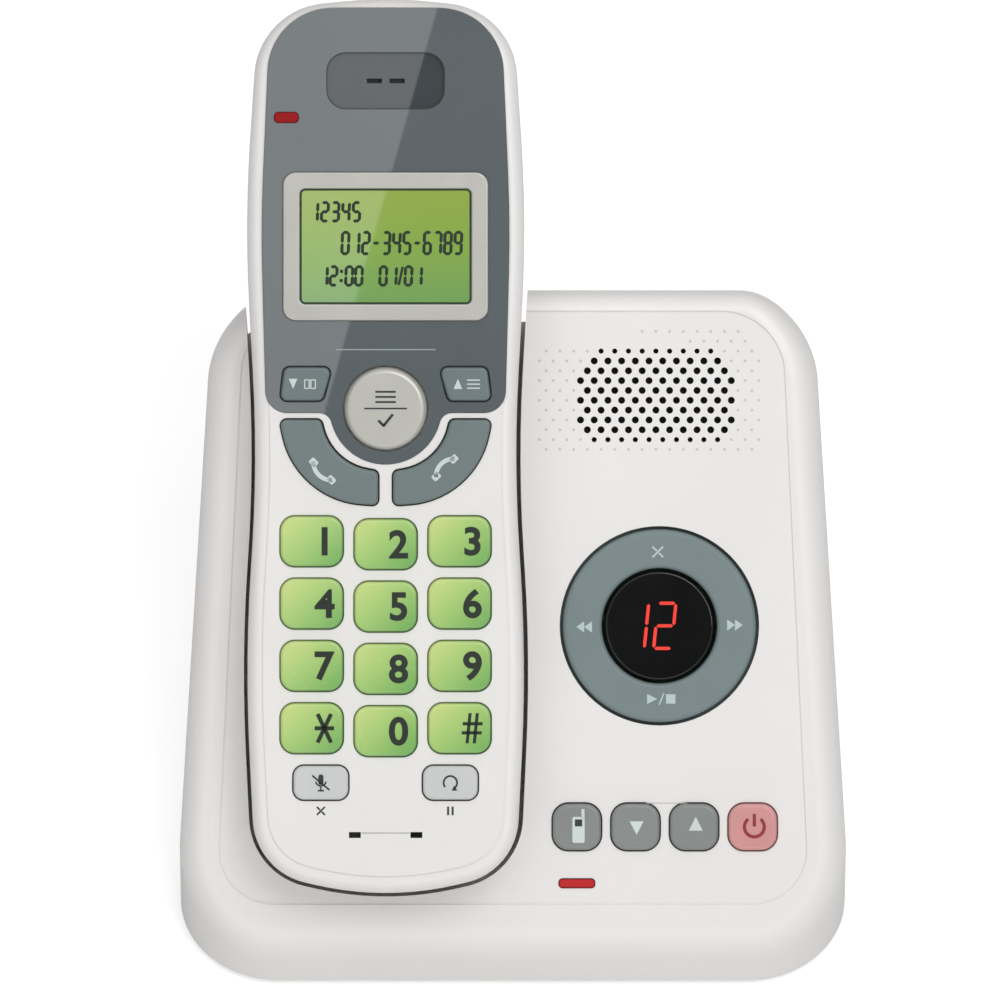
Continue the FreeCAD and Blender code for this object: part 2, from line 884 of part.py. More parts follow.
def rear_cuts():
    """Windows in the back wall for the two sockets."""
    body = new_body("rear_cuts", world_frame, is_piece=False)
    gap = size.socket_gap
    level = size.base_depth - size.base_front_reach
    back = level - size.base_wall * 2
    line = socket_window(size.socket_offset, size.line_socket_width, size.line_socket_height, gap)
    power = socket_window(-size.socket_offset, size.power_socket_width, size.line_socket_height, gap)
    sketch_level = -level - size.base_wall
    pad(body, "windows", sketch_level, level - back + size.base_wall, line, power, plane="XZ_Plane")
    return body


def socket_window(x, width, height, grow):
    middle = socket_level() + height / 2
    return rectangle(x, middle, width + grow * 2, height + grow * 2, grow)


def base_upper_housing():
    rim = rounded_rim(wedge("housing_form", 0, 0, size.desk_gap))
    shell = cut("housing_shell", rim, wedge("housing_room", size.base_wall, size.base_wall, 0))
    inside = join("housing_inside", trough("cradle_block", size.cradle_wall), housing_bosses())
    inside = join("housing_ribs", inside, board_posts())
    shell = join("housing_joined", shell, overlap("housing_inside_trimmed", inside, rim))
    shell = cut("housing_cradle", shell, trough("cradle_room", 0))
    shell = cut("housing_slotted", shell, cradle_slots())
    shell = cut("housing_bored", shell, boss_bores())
    shell = cut("housing_backed", shell, rear_cuts())
    housing = cut("base_upper_housing", shell, deck_cuts())
    housing.Label = "base_upper_housing"
    pieces.append(housing)


# what stands under and inside the base


def base_bottom_cover():
    body = new_body("base_bottom_cover", world_frame)
    inset = size.base_wall + size.cover_gap
    front = -size.base_front_reach + inset
    rear = size.base_depth - size.base_front_reach - inset
    front_half = size.base_front_width / 2 - inset
    rear_half = size.base_rear_width / 2 - inset
    plan = [
        (-front_half, front, size.base_front_corner - inset),
        (front_half, front, size.base_front_corner - inset),
        (rear_half, rear, size.base_rear_corner - inset),
        (-rear_half, rear, size.base_rear_corner - inset),
    ]
    pad(body, "plate", size.desk_gap, size.cover_thickness, plan)
    posts = [(x, y, size.socket_board_post_radius) for x, y in socket_board_post_places()]
    pad(body, "posts", cover_top(), size.socket_board_lift, *posts)
    feet = [(x, y, size.foot_radius + size.seat_gap) for x, y in foot_places()]
    pocket(body, "foot_seats", size.desk_gap, size.foot_sink, *feet)
    heads = [(x, y, size.screw_head_radius + size.seat_gap) for x, y in boss_places()]
    pocket(body, "head_seats", size.desk_gap, screw_seat() - size.desk_gap, *heads)
    shanks = [(x, y, size.screw_radius + size.seat_gap) for x, y in boss_places()]
    pocket(body, "shank_holes", size.desk_gap, size.cover_thickness, *shanks)


def foot_places():
    front = size.foot_front_place - size.base_front_reach
    rear = size.foot_rear_place - size.base_front_reach
    return [(x, y) for x in (size.foot_offset, -size.foot_offset) for y in (front, rear)]


def screw_seat():
    """Height at which the heads of the base's screws bear against the cover."""
    return size.desk_gap + size.screw_head_height + size.seat_gap


def rubber_feet():
    body = new_body("rubber_feet", world_frame)
    discs = [(x, y, size.foot_radius) for x, y in foot_places()]
    pad(body, "discs", 0, size.desk_gap + size.foot_sink, *discs)
    round_edges(body, "lower_edge", size.foot_sink, edges_at(body, 0))


def base_housing_screws():
    body = new_body("base_housing_screws", world_frame)
    heads = [(x, y, size.screw_head_radius) for x, y in boss_places()]
    shanks = [(x, y, size.screw_radius) for x, y in boss_places()]
    pad(body, "heads", screw_seat() - size.screw_head_height, size.screw_head_height, *heads)
    pad(body, "shanks", screw_seat(), size.screw_length, *shanks)
    slots = []
    for x, y in boss_places():
        slots.append(rectangle(x, y, size.screw_head_radius, size.screw_head_height / 2, 0))
    pocket(body, "slots", screw_seat() - size.screw_head_height, size.screw_head_height / 2, *slots)


def base_circuit_board():
    body = new_body("base_circuit_board", deck_frame)
    width = size.board_right - size.board_left
    length = size.board_end - size.board_start
    middle = (size.board_right + size.board_left) / 2, (size.board_end + size.board_start) / 2
    plate = rectangle(*middle, width, length, size.board_corner)
    pad(body, "plate", -size.board_depth - size.board_thickness, size.board_thickness, plate)


def key_rest_gap():
    """From the underside of a key at rest to what it presses."""
    return size.key_travel + size.key_stop_gap


def key_flange_bottom(wall):
    """How far below the outer face of a wall the flange of a key ends."""
    return wall + size.key_lift + size.key_flange_thickness


def ring_web_bottom():
    cap = size.base_wall + size.ring_flange_drop + size.ring_flange_thickness
    return cap + size.ring_web_gap + size.ring_web_thickness


def base_tact_switches():
    """One switch under each key of the row and one under each quarter of the ring key."""
    body = new_body("base_tact_switches", deck_frame)
    row = [base_key_place(index) for index in range(len(BASE_KEYS))]
    reach = size.ring_switch_reach
    x, y = size.ring_offset, size.ring_rise
    ring = [(x + reach, y), (x - reach, y), (x, y + reach), (x, y - reach)]
    row_top = key_flange_bottom(size.base_wall) + size.base_key_stem + key_rest_gap()
    ring_top = ring_web_bottom() + key_rest_gap()
    for label, places, top in (("row", row, row_top), ("ring", ring, ring_top)):
        height = size.board_depth - top - size.switch_button_height
        cases = [rectangle(x, y, size.switch_width, size.switch_width, 0) for x, y in places]
        buttons = [(x, y, size.switch_button_radius) for x, y in places]
        pad(body, f"{label}_cases", -size.board_depth, height, *cases)
        pad(body, f"{label}_buttons", -size.board_depth + height, size.switch_button_height, *buttons)


def base_loudspeaker():
    body = new_body("base_loudspeaker", deck_frame)
    x, y = size.grille_offset, size.speaker_rise
    basket = size.speaker_thickness - size.speaker_magnet_thickness
    pad(body, "basket", -size.base_wall - basket, basket, (x, y, size.speaker_radius))
    bottom = -size.base_wall - size.speaker_thickness
    pad(body, "magnet", bottom, size.speaker_magnet_thickness, (x, y, size.speaker_magnet_radius))


def counter_lens():
    body = new_body("display_lens", deck_frame)
    disc = (size.ring_offset, size.ring_rise, size.counter_lens_radius)
    low = size.counter_lens_proud - size.counter_lens_thickness
    pad(body, "disc", low, size.counter_lens_thickness, disc)
    round_edges(body, "edge", size.counter_lens_round, edges_at(body, size.counter_lens_proud))


def message_counter_module():
    body = new_body("message_counter_module", deck_frame)
    width, height = size.counter_module_width, size.counter_module_height
    block = rectangle(size.ring_offset, size.ring_rise, width, height, 0)
    top = size.counter_lens_proud - size.counter_lens_thickness
    pad(body, "block", -size.board_depth, size.board_depth + top, block)


def in_use_light_pipe():
    body = new_body("in_use_light_pipe", deck_frame)
    top = size.in_use_proud - size.panel_sink
    pad(body, "pipe", -size.board_depth, size.board_depth + top, in_use_outline(0))


def contact_places():
    return [(size.contact_offset, size.contact_rise), (-size.contact_offset, size.contact_rise)]


def cradle_floor_back():
    """How far below the handset's face the underside of the cradle's floor lies."""
    return size.handset_depth + size.cradle_floor_gap + size.cradle_wall


def cradle_charge_contacts():
    """Two sprung fingers that stand up through the cradle's floor to the handset's contacts."""
    body = new_body("cradle_charge_contacts", handset_frame)
    tabs = []
    fingers = []
    for x, y in contact_places():
        tabs.append(rectangle(x, y, size.contact_tab_width, size.contact_tab_length, 0))
        fingers.append(rectangle(x, y, size.contact_finger_width, size.contact_finger_length, 0))
    floor = cradle_floor_back()
    top = handset_contact_face() + size.contact_finger_gap
    pad(body, "tabs", -floor - size.contact_thickness, size.contact_thickness, *tabs)
    pad(body, "fingers", -floor, floor - top, *fingers)
    tips = edges_at(body, -top, lambda middle: abs(middle.y - number(size.contact_rise)) > NEAR)
    round_edges(body, "tips", size.contact_finger_round, tips)


def handset_contact_face():
    """How far below the handset's face its charging contacts end."""
    return door_seat() + size.contact_thickness - size.contact_sink


def cradle_slots():
    """Slots in the cradle's floor that the charging fingers pass through."""
    body = new_body("cradle_slots", handset_frame, is_piece=False)
    wide = size.contact_finger_width + size.contact_slot_gap
    long = size.contact_finger_length + size.contact_slot_gap
    slots = [rectangle(x, y, wide, long, 0) for x, y in contact_places()]
    pad(body, "slots", -cradle_floor_back() - size.cradle_wall, size.cradle_wall * 3, *slots)
    return body


def socket_board_middle():
    rear = size.base_depth - size.base_front_reach - size.base_wall - size.socket_recess
    return rear - size.socket_board_length / 2


def socket_board_post_places():
    inset = size.socket_board_post_inset
    x = size.socket_board_width / 2 - inset
    half = size.socket_board_length / 2 - inset
    return [(side, socket_board_middle() + end) for side in (x, -x) for end in (half, -half)]


def socket_circuit_board():
    body = new_body("socket_circuit_board", world_frame)
    width, length = size.socket_board_width, size.socket_board_length
    plate = rectangle(0, socket_board_middle(), width, length, size.socket_board_corner)
    pad(body, "plate", cover_top() + size.socket_board_lift, size.socket_board_thickness, plate)


def socket_face():
    """Level, along the plane that looks forward, of the sockets' outer faces."""
    return size.base_front_reach + size.socket_recess - size.base_depth


def telephone_line_jack():
    body = new_body("telephone_line_jack", world_frame)
    x, height = size.socket_offset, size.line_socket_height
    middle = socket_level() + height / 2
    case = rectangle(x, middle, size.line_socket_width, height, 0)
    pad(body, "case", socket_face(), size.line_socket_depth, case, plane="XZ_Plane")
    mouth = rectangle(x, middle, size.line_mouth_width, size.line_mouth_height, 0)
    pocket(body, "mouth", socket_face(), size.line_mouth_depth, mouth, plane="XZ_Plane")
    low = middle - size.line_mouth_height / 2 - size.line_latch_height / 2
    latch = rectangle(x, low, size.line_latch_width, size.line_latch_height, 0)
    pocket(body, "latch_way", socket_face(), size.line_mouth_depth, latch, plane="XZ_Plane")


def power_inlet_jack():
    body = new_body("power_inlet_jack", world_frame)
    x, height = -size.socket_offset, size.line_socket_height
    middle = socket_level() + height / 2
    case = rectangle(x, middle, size.power_socket_width, height, 0)
    pad(body, "case", socket_face(), size.power_socket_depth, case, plane="XZ_Plane")
    bore = (x, middle, size.power_bore_radius)
    pocket(body, "bore", socket_face(), size.power_bore_depth, bore, plane="XZ_Plane")
    pin = (x, middle, size.power_pin_radius)
    length = size.power_bore_depth - size.power_pin_end_gap
    pad(body, "pin", socket_face() + size.power_pin_end_gap, length, pin, plane="XZ_Plane")


def radio_shield_can():
    body = new_body("radio_shield_can", deck_frame)
    middle = (size.board_left + size.board_right) / 2
    plan = rectangle(middle, size.shield_rise, size.shield_width, size.shield_length, size.shield_corner)
    under = size.board_depth + size.board_thickness
    pad(body, "can", -under - size.shield_height, size.shield_height, plan)


def base_antenna():
    """A sheet-metal bow that hangs from the circuit board on two legs."""
    body = new_body("base_antenna", deck_frame)
    middle = (size.board_left + size.board_right) / 2
    left, right = middle - size.antenna_width / 2, middle + size.antenna_width / 2
    top = -size.board_depth - size.board_thickness
    low, bar = top - size.antenna_height, size.antenna_bar
    bow = [
        (left, low, 0),
        (right, low, 0),
        (right, top, 0),
        (right - bar, top, 0),
        (right - bar, low + bar, 0),
        (left + bar, low + bar, 0),
        (left + bar, top, 0),
        (left, top, 0),
    ]
    pad(body, "bow", -size.antenna_rise, size.antenna_thickness, bow, plane="XZ_Plane")


# the answering machine's keys


def ring_key_cap():
    """The ring that rocks four ways; its flange is held under the deck."""
    body = new_body("ring_key_cap", deck_frame)
    x, y = size.ring_offset, size.ring_rise
    drop = size.base_wall + size.ring_flange_drop
    hole = (x, y, size.ring_hole_radius)
    low = -drop - size.ring_flange_thickness
    pad(body, "flange", low, size.ring_flange_thickness, (x, y, size.ring_radius + size.ring_flange), hole)
    pad(body, "ring", -drop, drop + size.ring_proud, (x, y, size.ring_radius), hole)
    round_edges(body, "edges", size.ring_edge_round, edges_at(body, size.ring_proud))


def ring_key_web():
    """The rubber web under the ring key."""
    body = new_body("ring_key_web", deck_frame)
    x, y = size.ring_offset, size.ring_rise
    outer = (x, y, size.ring_radius - size.ring_web_inset)
    inner = (x, y, size.ring_hole_radius + size.ring_web_inset)
    pad(body, "web", -ring_web_bottom(), size.ring_web_thickness, outer, inner)


def press_key(label, frame, wall, proud, edge, outline):
    """A key: a cap that stands up through a wall and a flange held under it."""
    body = new_body(label, frame)
    low = key_flange_bottom(wall)
    pad(body, "flange", -low, size.key_flange_thickness, outline(size.key_flange))
    shoulder = low - size.key_flange_thickness
    pad(body, "cap", -shoulder, shoulder + proud, outline(0))
    round_edges(body, "edge", edge, edges_at(body, proud))
    return body


def base_key(label, index):
    proud = size.base_key_proud - size.panel_sink
    edge = size.base_key_edge_round
    outline = base_key_at(index)
    body = press_key(label, deck_frame, size.base_wall, proud, edge, outline)
    low = key_flange_bottom(size.base_wall) + size.base_key_stem
    stem = (*base_key_place(index), size.switch_button_radius)
    pad(body, "stem", -low, size.base_key_stem, stem)


# the handset


def slate_half():
    return [
        (size.slate_bottom_width / 2, size.slate_bottom, size.slate_bottom_corner),
        (size.slate_chest_width / 2, size.handset_chest_rise, size.handset_chest_radius),
        (size.slate_top_width / 2, size.slate_top, size.slate_top_corner),
    ]


def slate_plate(label, level, height, grow, is_piece):
    """The slate panel's outline with its lobe round the menu key, grown by grow."""
    body = new_body(label, handset_frame, is_piece)
    (low_x, low_y, low_r), (mid_x, mid_y, mid_r), (top_x, top_y, top_r) = slate_half()
    half = [
        (low_x + grow, low_y - grow, low_r + grow),
        (mid_x + grow, mid_y, mid_r + grow),
        (top_x + grow, top_y + grow, top_r + grow),
    ]
    pad(body, "plate", level, height, mirrored(half))
    radius = size.slate_lobe_radius + grow
    pad(body, "lobe", level, height, (0, size.menu_key_rise, radius))
    doc.recompute()
    bottom = number(low_y - grow)
    names = []
    for index, edge in enumerate(body.Tip.Shape.Edges, start=1):
        spots = [spot.Point for spot in edge.Vertexes]
        upright = len(spots) == 2 and abs(spots[0].z - spots[1].z) > number(height) / 2
        if upright and abs(spots[0].y - bottom) < NEAR and abs(spots[0].x) < number(radius) + NEAR:
            names.append(f"Edge{index}")
    round_edges(body, "lobe_blend", size.slate_lobe_blend - grow, names)
    return body


def lcd_outline(width, height, corner, grow):
    return rectangle(0, size.lcd_rise, width + grow * 2, height + grow * 2, corner + grow)


def frame_outline(grow):
    return lcd_outline(size.lcd_frame_width, size.lcd_frame_height, size.lcd_frame_corner, grow)


def window_outline(grow):
    return lcd_outline(size.lcd_window_width, size.lcd_window_height, size.lcd_window_corner, grow)


def charge_lamp_outline(grow):
    width, height = size.charge_lamp_width + grow * 2, size.charge_lamp_height + grow * 2
    corner = size.charge_lamp_corner + grow
    return rectangle(-size.charge_lamp_offset, size.charge_lamp_rise, width, height, corner)


def earpiece_slots():
    width, height = size.earpiece_slot_width, size.earpiece_slot_height
    half = size.earpiece_slot_pitch / 2
    return [rectangle(x, size.earpiece_rise, width, height, 0) for x in (half, -half)]


def microphone_slots():
    width, height = size.microphone_slot_width, size.microphone_slot_height
    places = (size.microphone_slot_offset, -size.microphone_slot_offset)
    return [rectangle(x, size.microphone_rise, width, height, 0) for x in places]


def dial_key_outline(column, row, grow):
    x = size.dial_column_pitch * (column - 1)
    y = size.dial_top_row_rise - size.dial_row_pitch * row
    if column == 1:
        x, y = 0, y - size.dial_middle_drop
    width, height = size.dial_key_width + grow * 2, size.dial_key_height + grow * 2
    return rectangle(x, y, width, height, size.dial_key_corner + grow)


def side_key_outline(side, grow):
    x = size.side_key_offset * side
    width, height = size.side_key_width + grow * 2, size.side_key_height + grow * 2
    return rectangle(x, size.side_key_rise, width, height, size.side_key_corner + grow)


def menu_key_outline(grow):
    return 0, size.menu_key_rise, size.menu_key_radius + grow


def call_key_outline(grow):
    """The left call key: a swept plate that wraps the menu key from below."""
    corner = size.call_key_corner + grow
    belly, hollow = size.call_key_belly_radius + grow, size.call_key_hollow_radius - grow
    return [
        (-size.call_key_reach - grow, size.call_key_top + grow, corner),
        (-size.call_key_belly_reach - grow, size.call_key_belly_rise - grow, belly),
        (-size.call_key_inner_side + grow, size.call_key_bottom - grow, corner),
        (-size.call_key_inner_side + grow, size.call_key_throat + grow, corner),
        (-size.call_key_hollow_reach + grow, size.call_key_hollow_rise + grow, hollow),
        (-size.call_key_shoulder + grow, size.call_key_top + grow, corner),
    ]


def volume_key_outline(grow):
    """The left volume key: a slanted plate beside the menu key."""
    corner = size.volume_key_corner + grow
    return [
        (-size.volume_key_top_outer - grow, size.volume_key_top + grow, corner),
        (-size.volume_key_bottom_outer - grow, size.volume_key_bottom - grow, corner),
        (-size.volume_key_bottom_inner + grow, size.volume_key_bottom - grow, corner),
        (-size.volume_key_top_inner + grow, size.volume_key_top + grow, corner),
    ]


def handset_key_holes():
    gap = size.key_gap
    holes = [dial_key_outline(column, row, gap) for row in range(4) for column in range(3)]
    holes += [side_key_outline(side, gap) for side in (-1, 1)]
    holes += [menu_key_outline(gap), call_key_outline(gap), flipped(call_key_outline(gap))]
    return holes + [volume_key_outline(gap), flipped(volume_key_outline(gap))]


def handset_board_top():
    """How far below the handset's face its circuit board begins."""
    return key_flange_bottom(size.handset_wall) + key_rest_gap() + size.keypad_mat_thickness


def handset_screw_end():
    """How far below the handset's face its screws end."""
    return handset_board_top() + size.handset_board_thickness


def handset_screw_places():
    return [(x, size.handset_screw_rise) for x in (size.handset_screw_offset, -size.handset_screw_offset)]


def handset_openings():
    """Everything that is cut through the handset's front wall."""
    body = new_body("handset_openings", handset_frame, is_piece=False)
    depth = size.handset_wall * 2
    holes = handset_key_holes() + [frame_outline(-size.lcd_seat), charge_lamp_outline(size.pane_gap)]
    for index, hole in enumerate(holes):
        pad(body, f"hole_{index}", -depth, depth * 2, hole)
    pad(body, "sound_slots", -depth, depth * 2, *earpiece_slots(), *microphone_slots())
    return body


def handset_front_housing():
    body = new_body("handset_front_form", handset_frame, is_piece=False)
    split, step = size.handset_split, size.face_step
    pad(body, "shell", -split, split - step, handset_outline(0))
    round_edges(body, "front_edge", size.handset_edge_round, edges_at(body, -step))
    pad(body, "face", -size.handset_wall, size.handset_wall, handset_outline(-size.face_inset))
    bevel_edges(body, "seam", size.seam_bevel, edges_at(body, -split))
    pocket(body, "inside", -split, split - size.handset_wall, handset_outline(-size.handset_wall))
    posts = [(x, y, size.handset_screw_head_radius) for x, y in handset_screw_places()]
    pad(body, "screw_posts", -split, split - size.handset_wall + size.post_root, *posts)
    bores = [(x, y, size.handset_screw_radius + size.screw_fit) for x, y in handset_screw_places()]
    pocket(body, "screw_bores", -split, split - handset_screw_end() + size.handset_screw_end_gap, *bores)
    seat = slate_plate("slate_room", -size.slate_sink, size.slate_sink * 3, size.pane_gap, False)
    seated = cut("handset_front_seated", body, seat)
    housing = cut("handset_front_housing", seated, handset_openings())
    housing.Label = "handset_front_housing"
    pieces.append(housing)


def door_seat():
    """How far below the handset's face the seat of the battery door lies."""
    return size.handset_depth - size.door_thickness - size.door_gap


def handset_rear_housing():
    body = new_body("handset_rear_housing", handset_frame)
    depth, split = size.handset_depth, size.handset_split
    pad(body, "shell", -depth, depth - split, handset_outline(0))
    round_edges(body, "back_edge", size.handset_back_round, edges_at(body, -depth))
    side, margin = size.handset_hip_width, size.handset_depth
    foot_rise = (depth - size.handset_foot_depth) / size.handset_foot_slope
    foot = [
        (-margin, -size.handset_foot_depth + margin * foot_rise, 0),
        (size.handset_foot_slope, -depth, 0),
        (size.handset_foot_slope, -depth * 2, 0),
        (-margin, -depth * 2, 0),
    ]
    pocket(body, "foot_slope", -side, side * 2, foot, plane="YZ_Plane")
    head_run = size.handset_crown_rise - size.handset_head_slope
    head_rise = (depth - size.handset_head_depth) / head_run
    head_end = size.handset_crown_rise + margin
    head = [
        (size.handset_head_slope, -depth, 0),
        (head_end, -size.handset_head_depth + margin * head_rise, 0),
        (head_end, -depth * 2, 0),
        (size.handset_head_slope, -depth * 2, 0),
    ]
    pocket(body, "head_slope", -side, side * 2, head, plane="YZ_Plane")
    low, high = size.handset_hollow_start, size.handset_hollow_end
    hollow = rectangle(0, (low + high) / 2, size.handset_hollow_width, high - low, size.handset_hollow_corner)
    floor = size.handset_hollow_floor
    pocket(body, "hollow", -floor, floor - split, hollow)
    well_middle = size.battery_start + size.battery_cell_length / 2
    wide, long, wall = size.battery_well_width, size.battery_well_length, size.battery_well_wall * 2
    block = rectangle(0, well_middle, wide + wall, long + wall, size.battery_well_corner)
    pad(body, "well_walls", -floor - size.post_root, floor + size.post_root - split, block)
    door_low, door_high = -margin, size.door_end + size.door_gap
    seat_width = size.door_width + size.door_gap * 2
    seat = rectangle(0, (door_low + door_high) / 2, seat_width, door_high - door_low, size.door_corner)
    pocket(body, "door_way", -depth * 2, depth * 2 - door_seat(), seat)
    well = rectangle(0, well_middle, wide, long, size.battery_well_corner)
    pocket(body, "battery_well", -depth * 2, depth * 2 - size.battery_well_floor, well)
    wide, long = size.contact_width + size.seat_gap, size.contact_length + size.seat_gap
    plates = [rectangle(x, y, wide, long, 0) for x, y in contact_places()]
    pocket(body, "contact_seats", -depth * 2, depth * 2 - door_seat() + size.contact_sink, *plates)
    heads = [(x, y, size.handset_screw_head_radius + size.seat_gap) for x, y in handset_screw_places()]
    pocket(body, "screw_seats", -depth * 2, depth * 2 - size.handset_screw_seat, *heads)
    shanks = [(x, y, size.handset_screw_radius + size.seat_gap) for x, y in handset_screw_places()]
    pocket(body, "screw_ways", -depth, depth, *shanks)


def handset_housing_screws():
    body = new_body("handset_housing_screws", handset_frame)
    seat, head = size.handset_screw_seat, size.handset_screw_head_height
    heads = [(x, y, size.handset_screw_head_radius) for x, y in handset_screw_places()]
    shanks = [(x, y, size.handset_screw_radius) for x, y in handset_screw_places()]
    pad(body, "heads", -seat - head, head, *heads)
    pad(body, "shanks", -seat, seat - handset_screw_end(), *shanks)


def handset_face_panel():
    level = -size.slate_sink
    body = slate_plate("handset_face_panel", level, size.slate_thickness, 0, True)
    top = size.slate_thickness - size.slate_sink
    gap = size.key_gap
    holes = [frame_outline(size.pane_gap), charge_lamp_outline(size.pane_gap)]
    holes += [menu_key_outline(gap), volume_key_outline(gap), flipped(volume_key_outline(gap))]
    pocket(body, "openings", level, size.slate_thickness, *holes)
    dish = rectangle(0, size.earpiece_rise, size.earpiece_width, size.earpiece_height, size.earpiece_corner)
    pocket(body, "earpiece_dish", top - size.earpiece_sink, size.earpiece_sink, dish)
    pocket(body, "earpiece_slots", level, size.slate_thickness, *earpiece_slots())


def lcd_frame():
    body = new_body("lcd_frame", handset_frame)
    height = size.slate_sink + size.lcd_frame_proud
    pad(body, "bezel", -size.slate_sink, height, frame_outline(0), window_outline(0))
    round_edges(body, "edges", size.lcd_frame_round, edges_at(body, size.lcd_frame_proud))


def lcd_window():
    body = new_body("lcd_window", handset_frame)
    height = size.slate_sink + size.lcd_window_proud
    pad(body, "pane", -size.slate_sink, height, window_outline(-size.pane_gap))


def lcd_module():
    body = new_body("lcd_module", handset_frame)
    top = handset_board_top()
    pad(body, "block", -top, top - size.slate_sink, frame_outline(-size.lcd_seat - size.seat_gap))


def charge_light_pipe():
    body = new_body("charge_light_pipe", handset_frame)
    low, proud = handset_board_top(), size.charge_lamp_proud
    pad(body, "pipe", -low, low + proud, charge_lamp_outline(0))
    round_edges(body, "edge", size.charge_lamp_round, edges_at(body, proud))


def earpiece_receiver():
    body = new_body("earpiece_receiver", handset_frame)
    disc = (0, size.earpiece_rise, size.receiver_radius)
    low = size.handset_wall + size.receiver_thickness
    pad(body, "capsule", -low, size.receiver_thickness, disc)


def handset_microphone():
    body = new_body("handset_microphone", handset_frame)
    disc = (-size.microphone_slot_offset, size.microphone_rise, size.microphone_radius)
    low = size.handset_wall + size.microphone_thickness
    pad(body, "capsule", -low, size.microphone_thickness, disc)


def keypad_rubber_mat():
    body = new_body("keypad_rubber_mat", handset_frame)
    low, high = size.keypad_mat_start, size.keypad_mat_end
    mat = rectangle(0, (low + high) / 2, size.keypad_mat_width, high - low, size.keypad_mat_corner)
    pad(body, "mat", -handset_board_top(), size.keypad_mat_thickness, mat)


def handset_circuit_board():
    body = new_body("handset_circuit_board", handset_frame)
    low, high = size.handset_board_start, size.handset_board_end
    plate = rectangle(0, (low + high) / 2, size.handset_board_width, high - low, size.handset_board_corner)
    level = -handset_board_top() - size.handset_board_thickness
    pad(body, "plate", level, size.handset_board_thickness, plate)
    radius = size.handset_screw_head_radius + size.key_gap
    ways = [(x, y, radius) for x, y in handset_screw_places()]
    pocket(body, "post_ways", level, size.handset_board_thickness, *ways)


def battery_cells():
    body = new_body("battery_cells", handset_frame)
    radius = size.battery_cell_radius
    depth = -size.battery_well_floor - size.battery_cell_gap - radius
    apart = radius + size.cover_gap / 2
    level = -size.battery_start - size.battery_cell_length
    cells = [(apart, depth, radius), (-apart, depth, radius)]
    pad(body, "cans", level, size.battery_cell_length, *cells, plane="XZ_Plane")


def handset_charge_contacts():
    body = new_body("handset_charge_contacts", handset_frame)
    plates = [rectangle(x, y, size.contact_width, size.contact_length, 0) for x, y in contact_places()]
    pad(body, "plates", -handset_contact_face(), size.contact_thickness, *plates)


def battery_door():
    body = new_body("battery_door", handset_frame)
    length = size.door_end - size.door_start
    middle = (size.door_end + size.door_start) / 2
    plate = rectangle(0, middle, size.door_width, length, size.door_corner)
    pad(body, "plate", -size.handset_depth, size.door_thickness, plate)
    round_edges(body, "edge", size.door_edge_round, edges_at(body, -size.handset_depth))
    grooves = []
    for row in range(DOOR_GRIP_ROWS):
        y = size.door_start + size.door_grip_rise + size.door_grip_pitch * row
        grooves.append(rectangle(0, y, size.door_grip_width, size.door_grip_height, 0))
    pocket(body, "grip", -size.handset_depth, size.door_grip_depth, *grooves)


def handset_keys():
    wall, proud, edge = size.handset_wall, size.key_proud, size.key_edge_round
    menu_proud = proud + size.key_gap
    press_key("menu_select_key", handset_frame, wall, menu_proud, size.menu_key_round, menu_key_outline)
    for label, outline in (("handset_volume_down_key", volume_key_outline), ("talk_key", call_key_outline)):
        press_key(label, handset_frame, wall, proud, edge, outline)
    for label, outline in (("handset_volume_up_key", volume_key_outline), ("off_key", call_key_outline)):
        press_key(label, handset_frame, wall, proud, edge, flipped_outline(outline))
    for row, labels in enumerate(DIAL_KEYS):
        for column, label in enumerate(labels):
            outline = dial_key_at(column, row)
            press_key(f"dial_key_{label}", handset_frame, wall, proud, edge, outline)
    for label, side in (("mute_key", -1), ("redial_key", 1)):
        press_key(label, handset_frame, wall, proud, edge, side_key_at(side))


def flipped_outline(outline):
    return lambda grow: flipped(outline(grow))


def side_key_at(side):
    return lambda grow: side_key_outline(side, grow)


def dial_key_at(column, row):
    return lambda grow: dial_key_outline(column, row, grow)


def check_document():
    """Stop if any object failed, any cut removed nothing or any piece isn't a valid closed shape."""
    for thing in doc.Objects:
        if "Invalid" in thing.State or "Error" in thing.State:
            raise RuntimeError(f"{thing.Name} failed: {thing.State}")
        if thing.TypeId == "PartDesign::Pocket":
            before = thing.BaseFeature.Shape.Volume
            if thing.Shape.Volume > before - NEAR:
                raise RuntimeError(f"{thing.Name} removes nothing")
    for piece in pieces:
        if piece.Shape.isNull() or not piece.Shape.isValid() or not piece.Shape.Solids:
            raise RuntimeError(f"{piece.Label} has no valid solid")


def write_pieces():
    os.makedirs("parts", exist_ok=True)
    for piece in pieces:
        piece.Shape.exportStep(f"parts/{piece.Label}.step")


def build():
    fill_sheet()
    base_upper_housing()
    base_bottom_cover()
    rubber_feet()
    base_housing_screws()
    base_circuit_board()
    base_tact_switches()
    base_loudspeaker()
    counter_lens()
    message_counter_module()
    in_use_light_pipe()
    cradle_charge_contacts()
    socket_circuit_board()
    telephone_line_jack()
    power_inlet_jack()
    radio_shield_can()
    base_antenna()
    ring_key_web()
    ring_key_cap()
    for index, label in enumerate(BASE_KEYS):
        base_key(label, index)
    handset_front_housing()
    handset_rear_housing()
    handset_housing_screws()
    handset_face_panel()
    lcd_frame()
    lcd_window()
    lcd_module()
    charge_light_pipe()
    earpiece_receiver()
    handset_microphone()
    keypad_rubber_mat()
    handset_circuit_board()
    battery_cells()
    handset_charge_contacts()
    battery_door()
    handset_keys()
    doc.recompute()
    check_document()
    write_pieces()


build()
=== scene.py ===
import json
import math

import bmesh
import bpy
from mathutils import Matrix, Vector
from mathutils.bvhtree import BVHTree


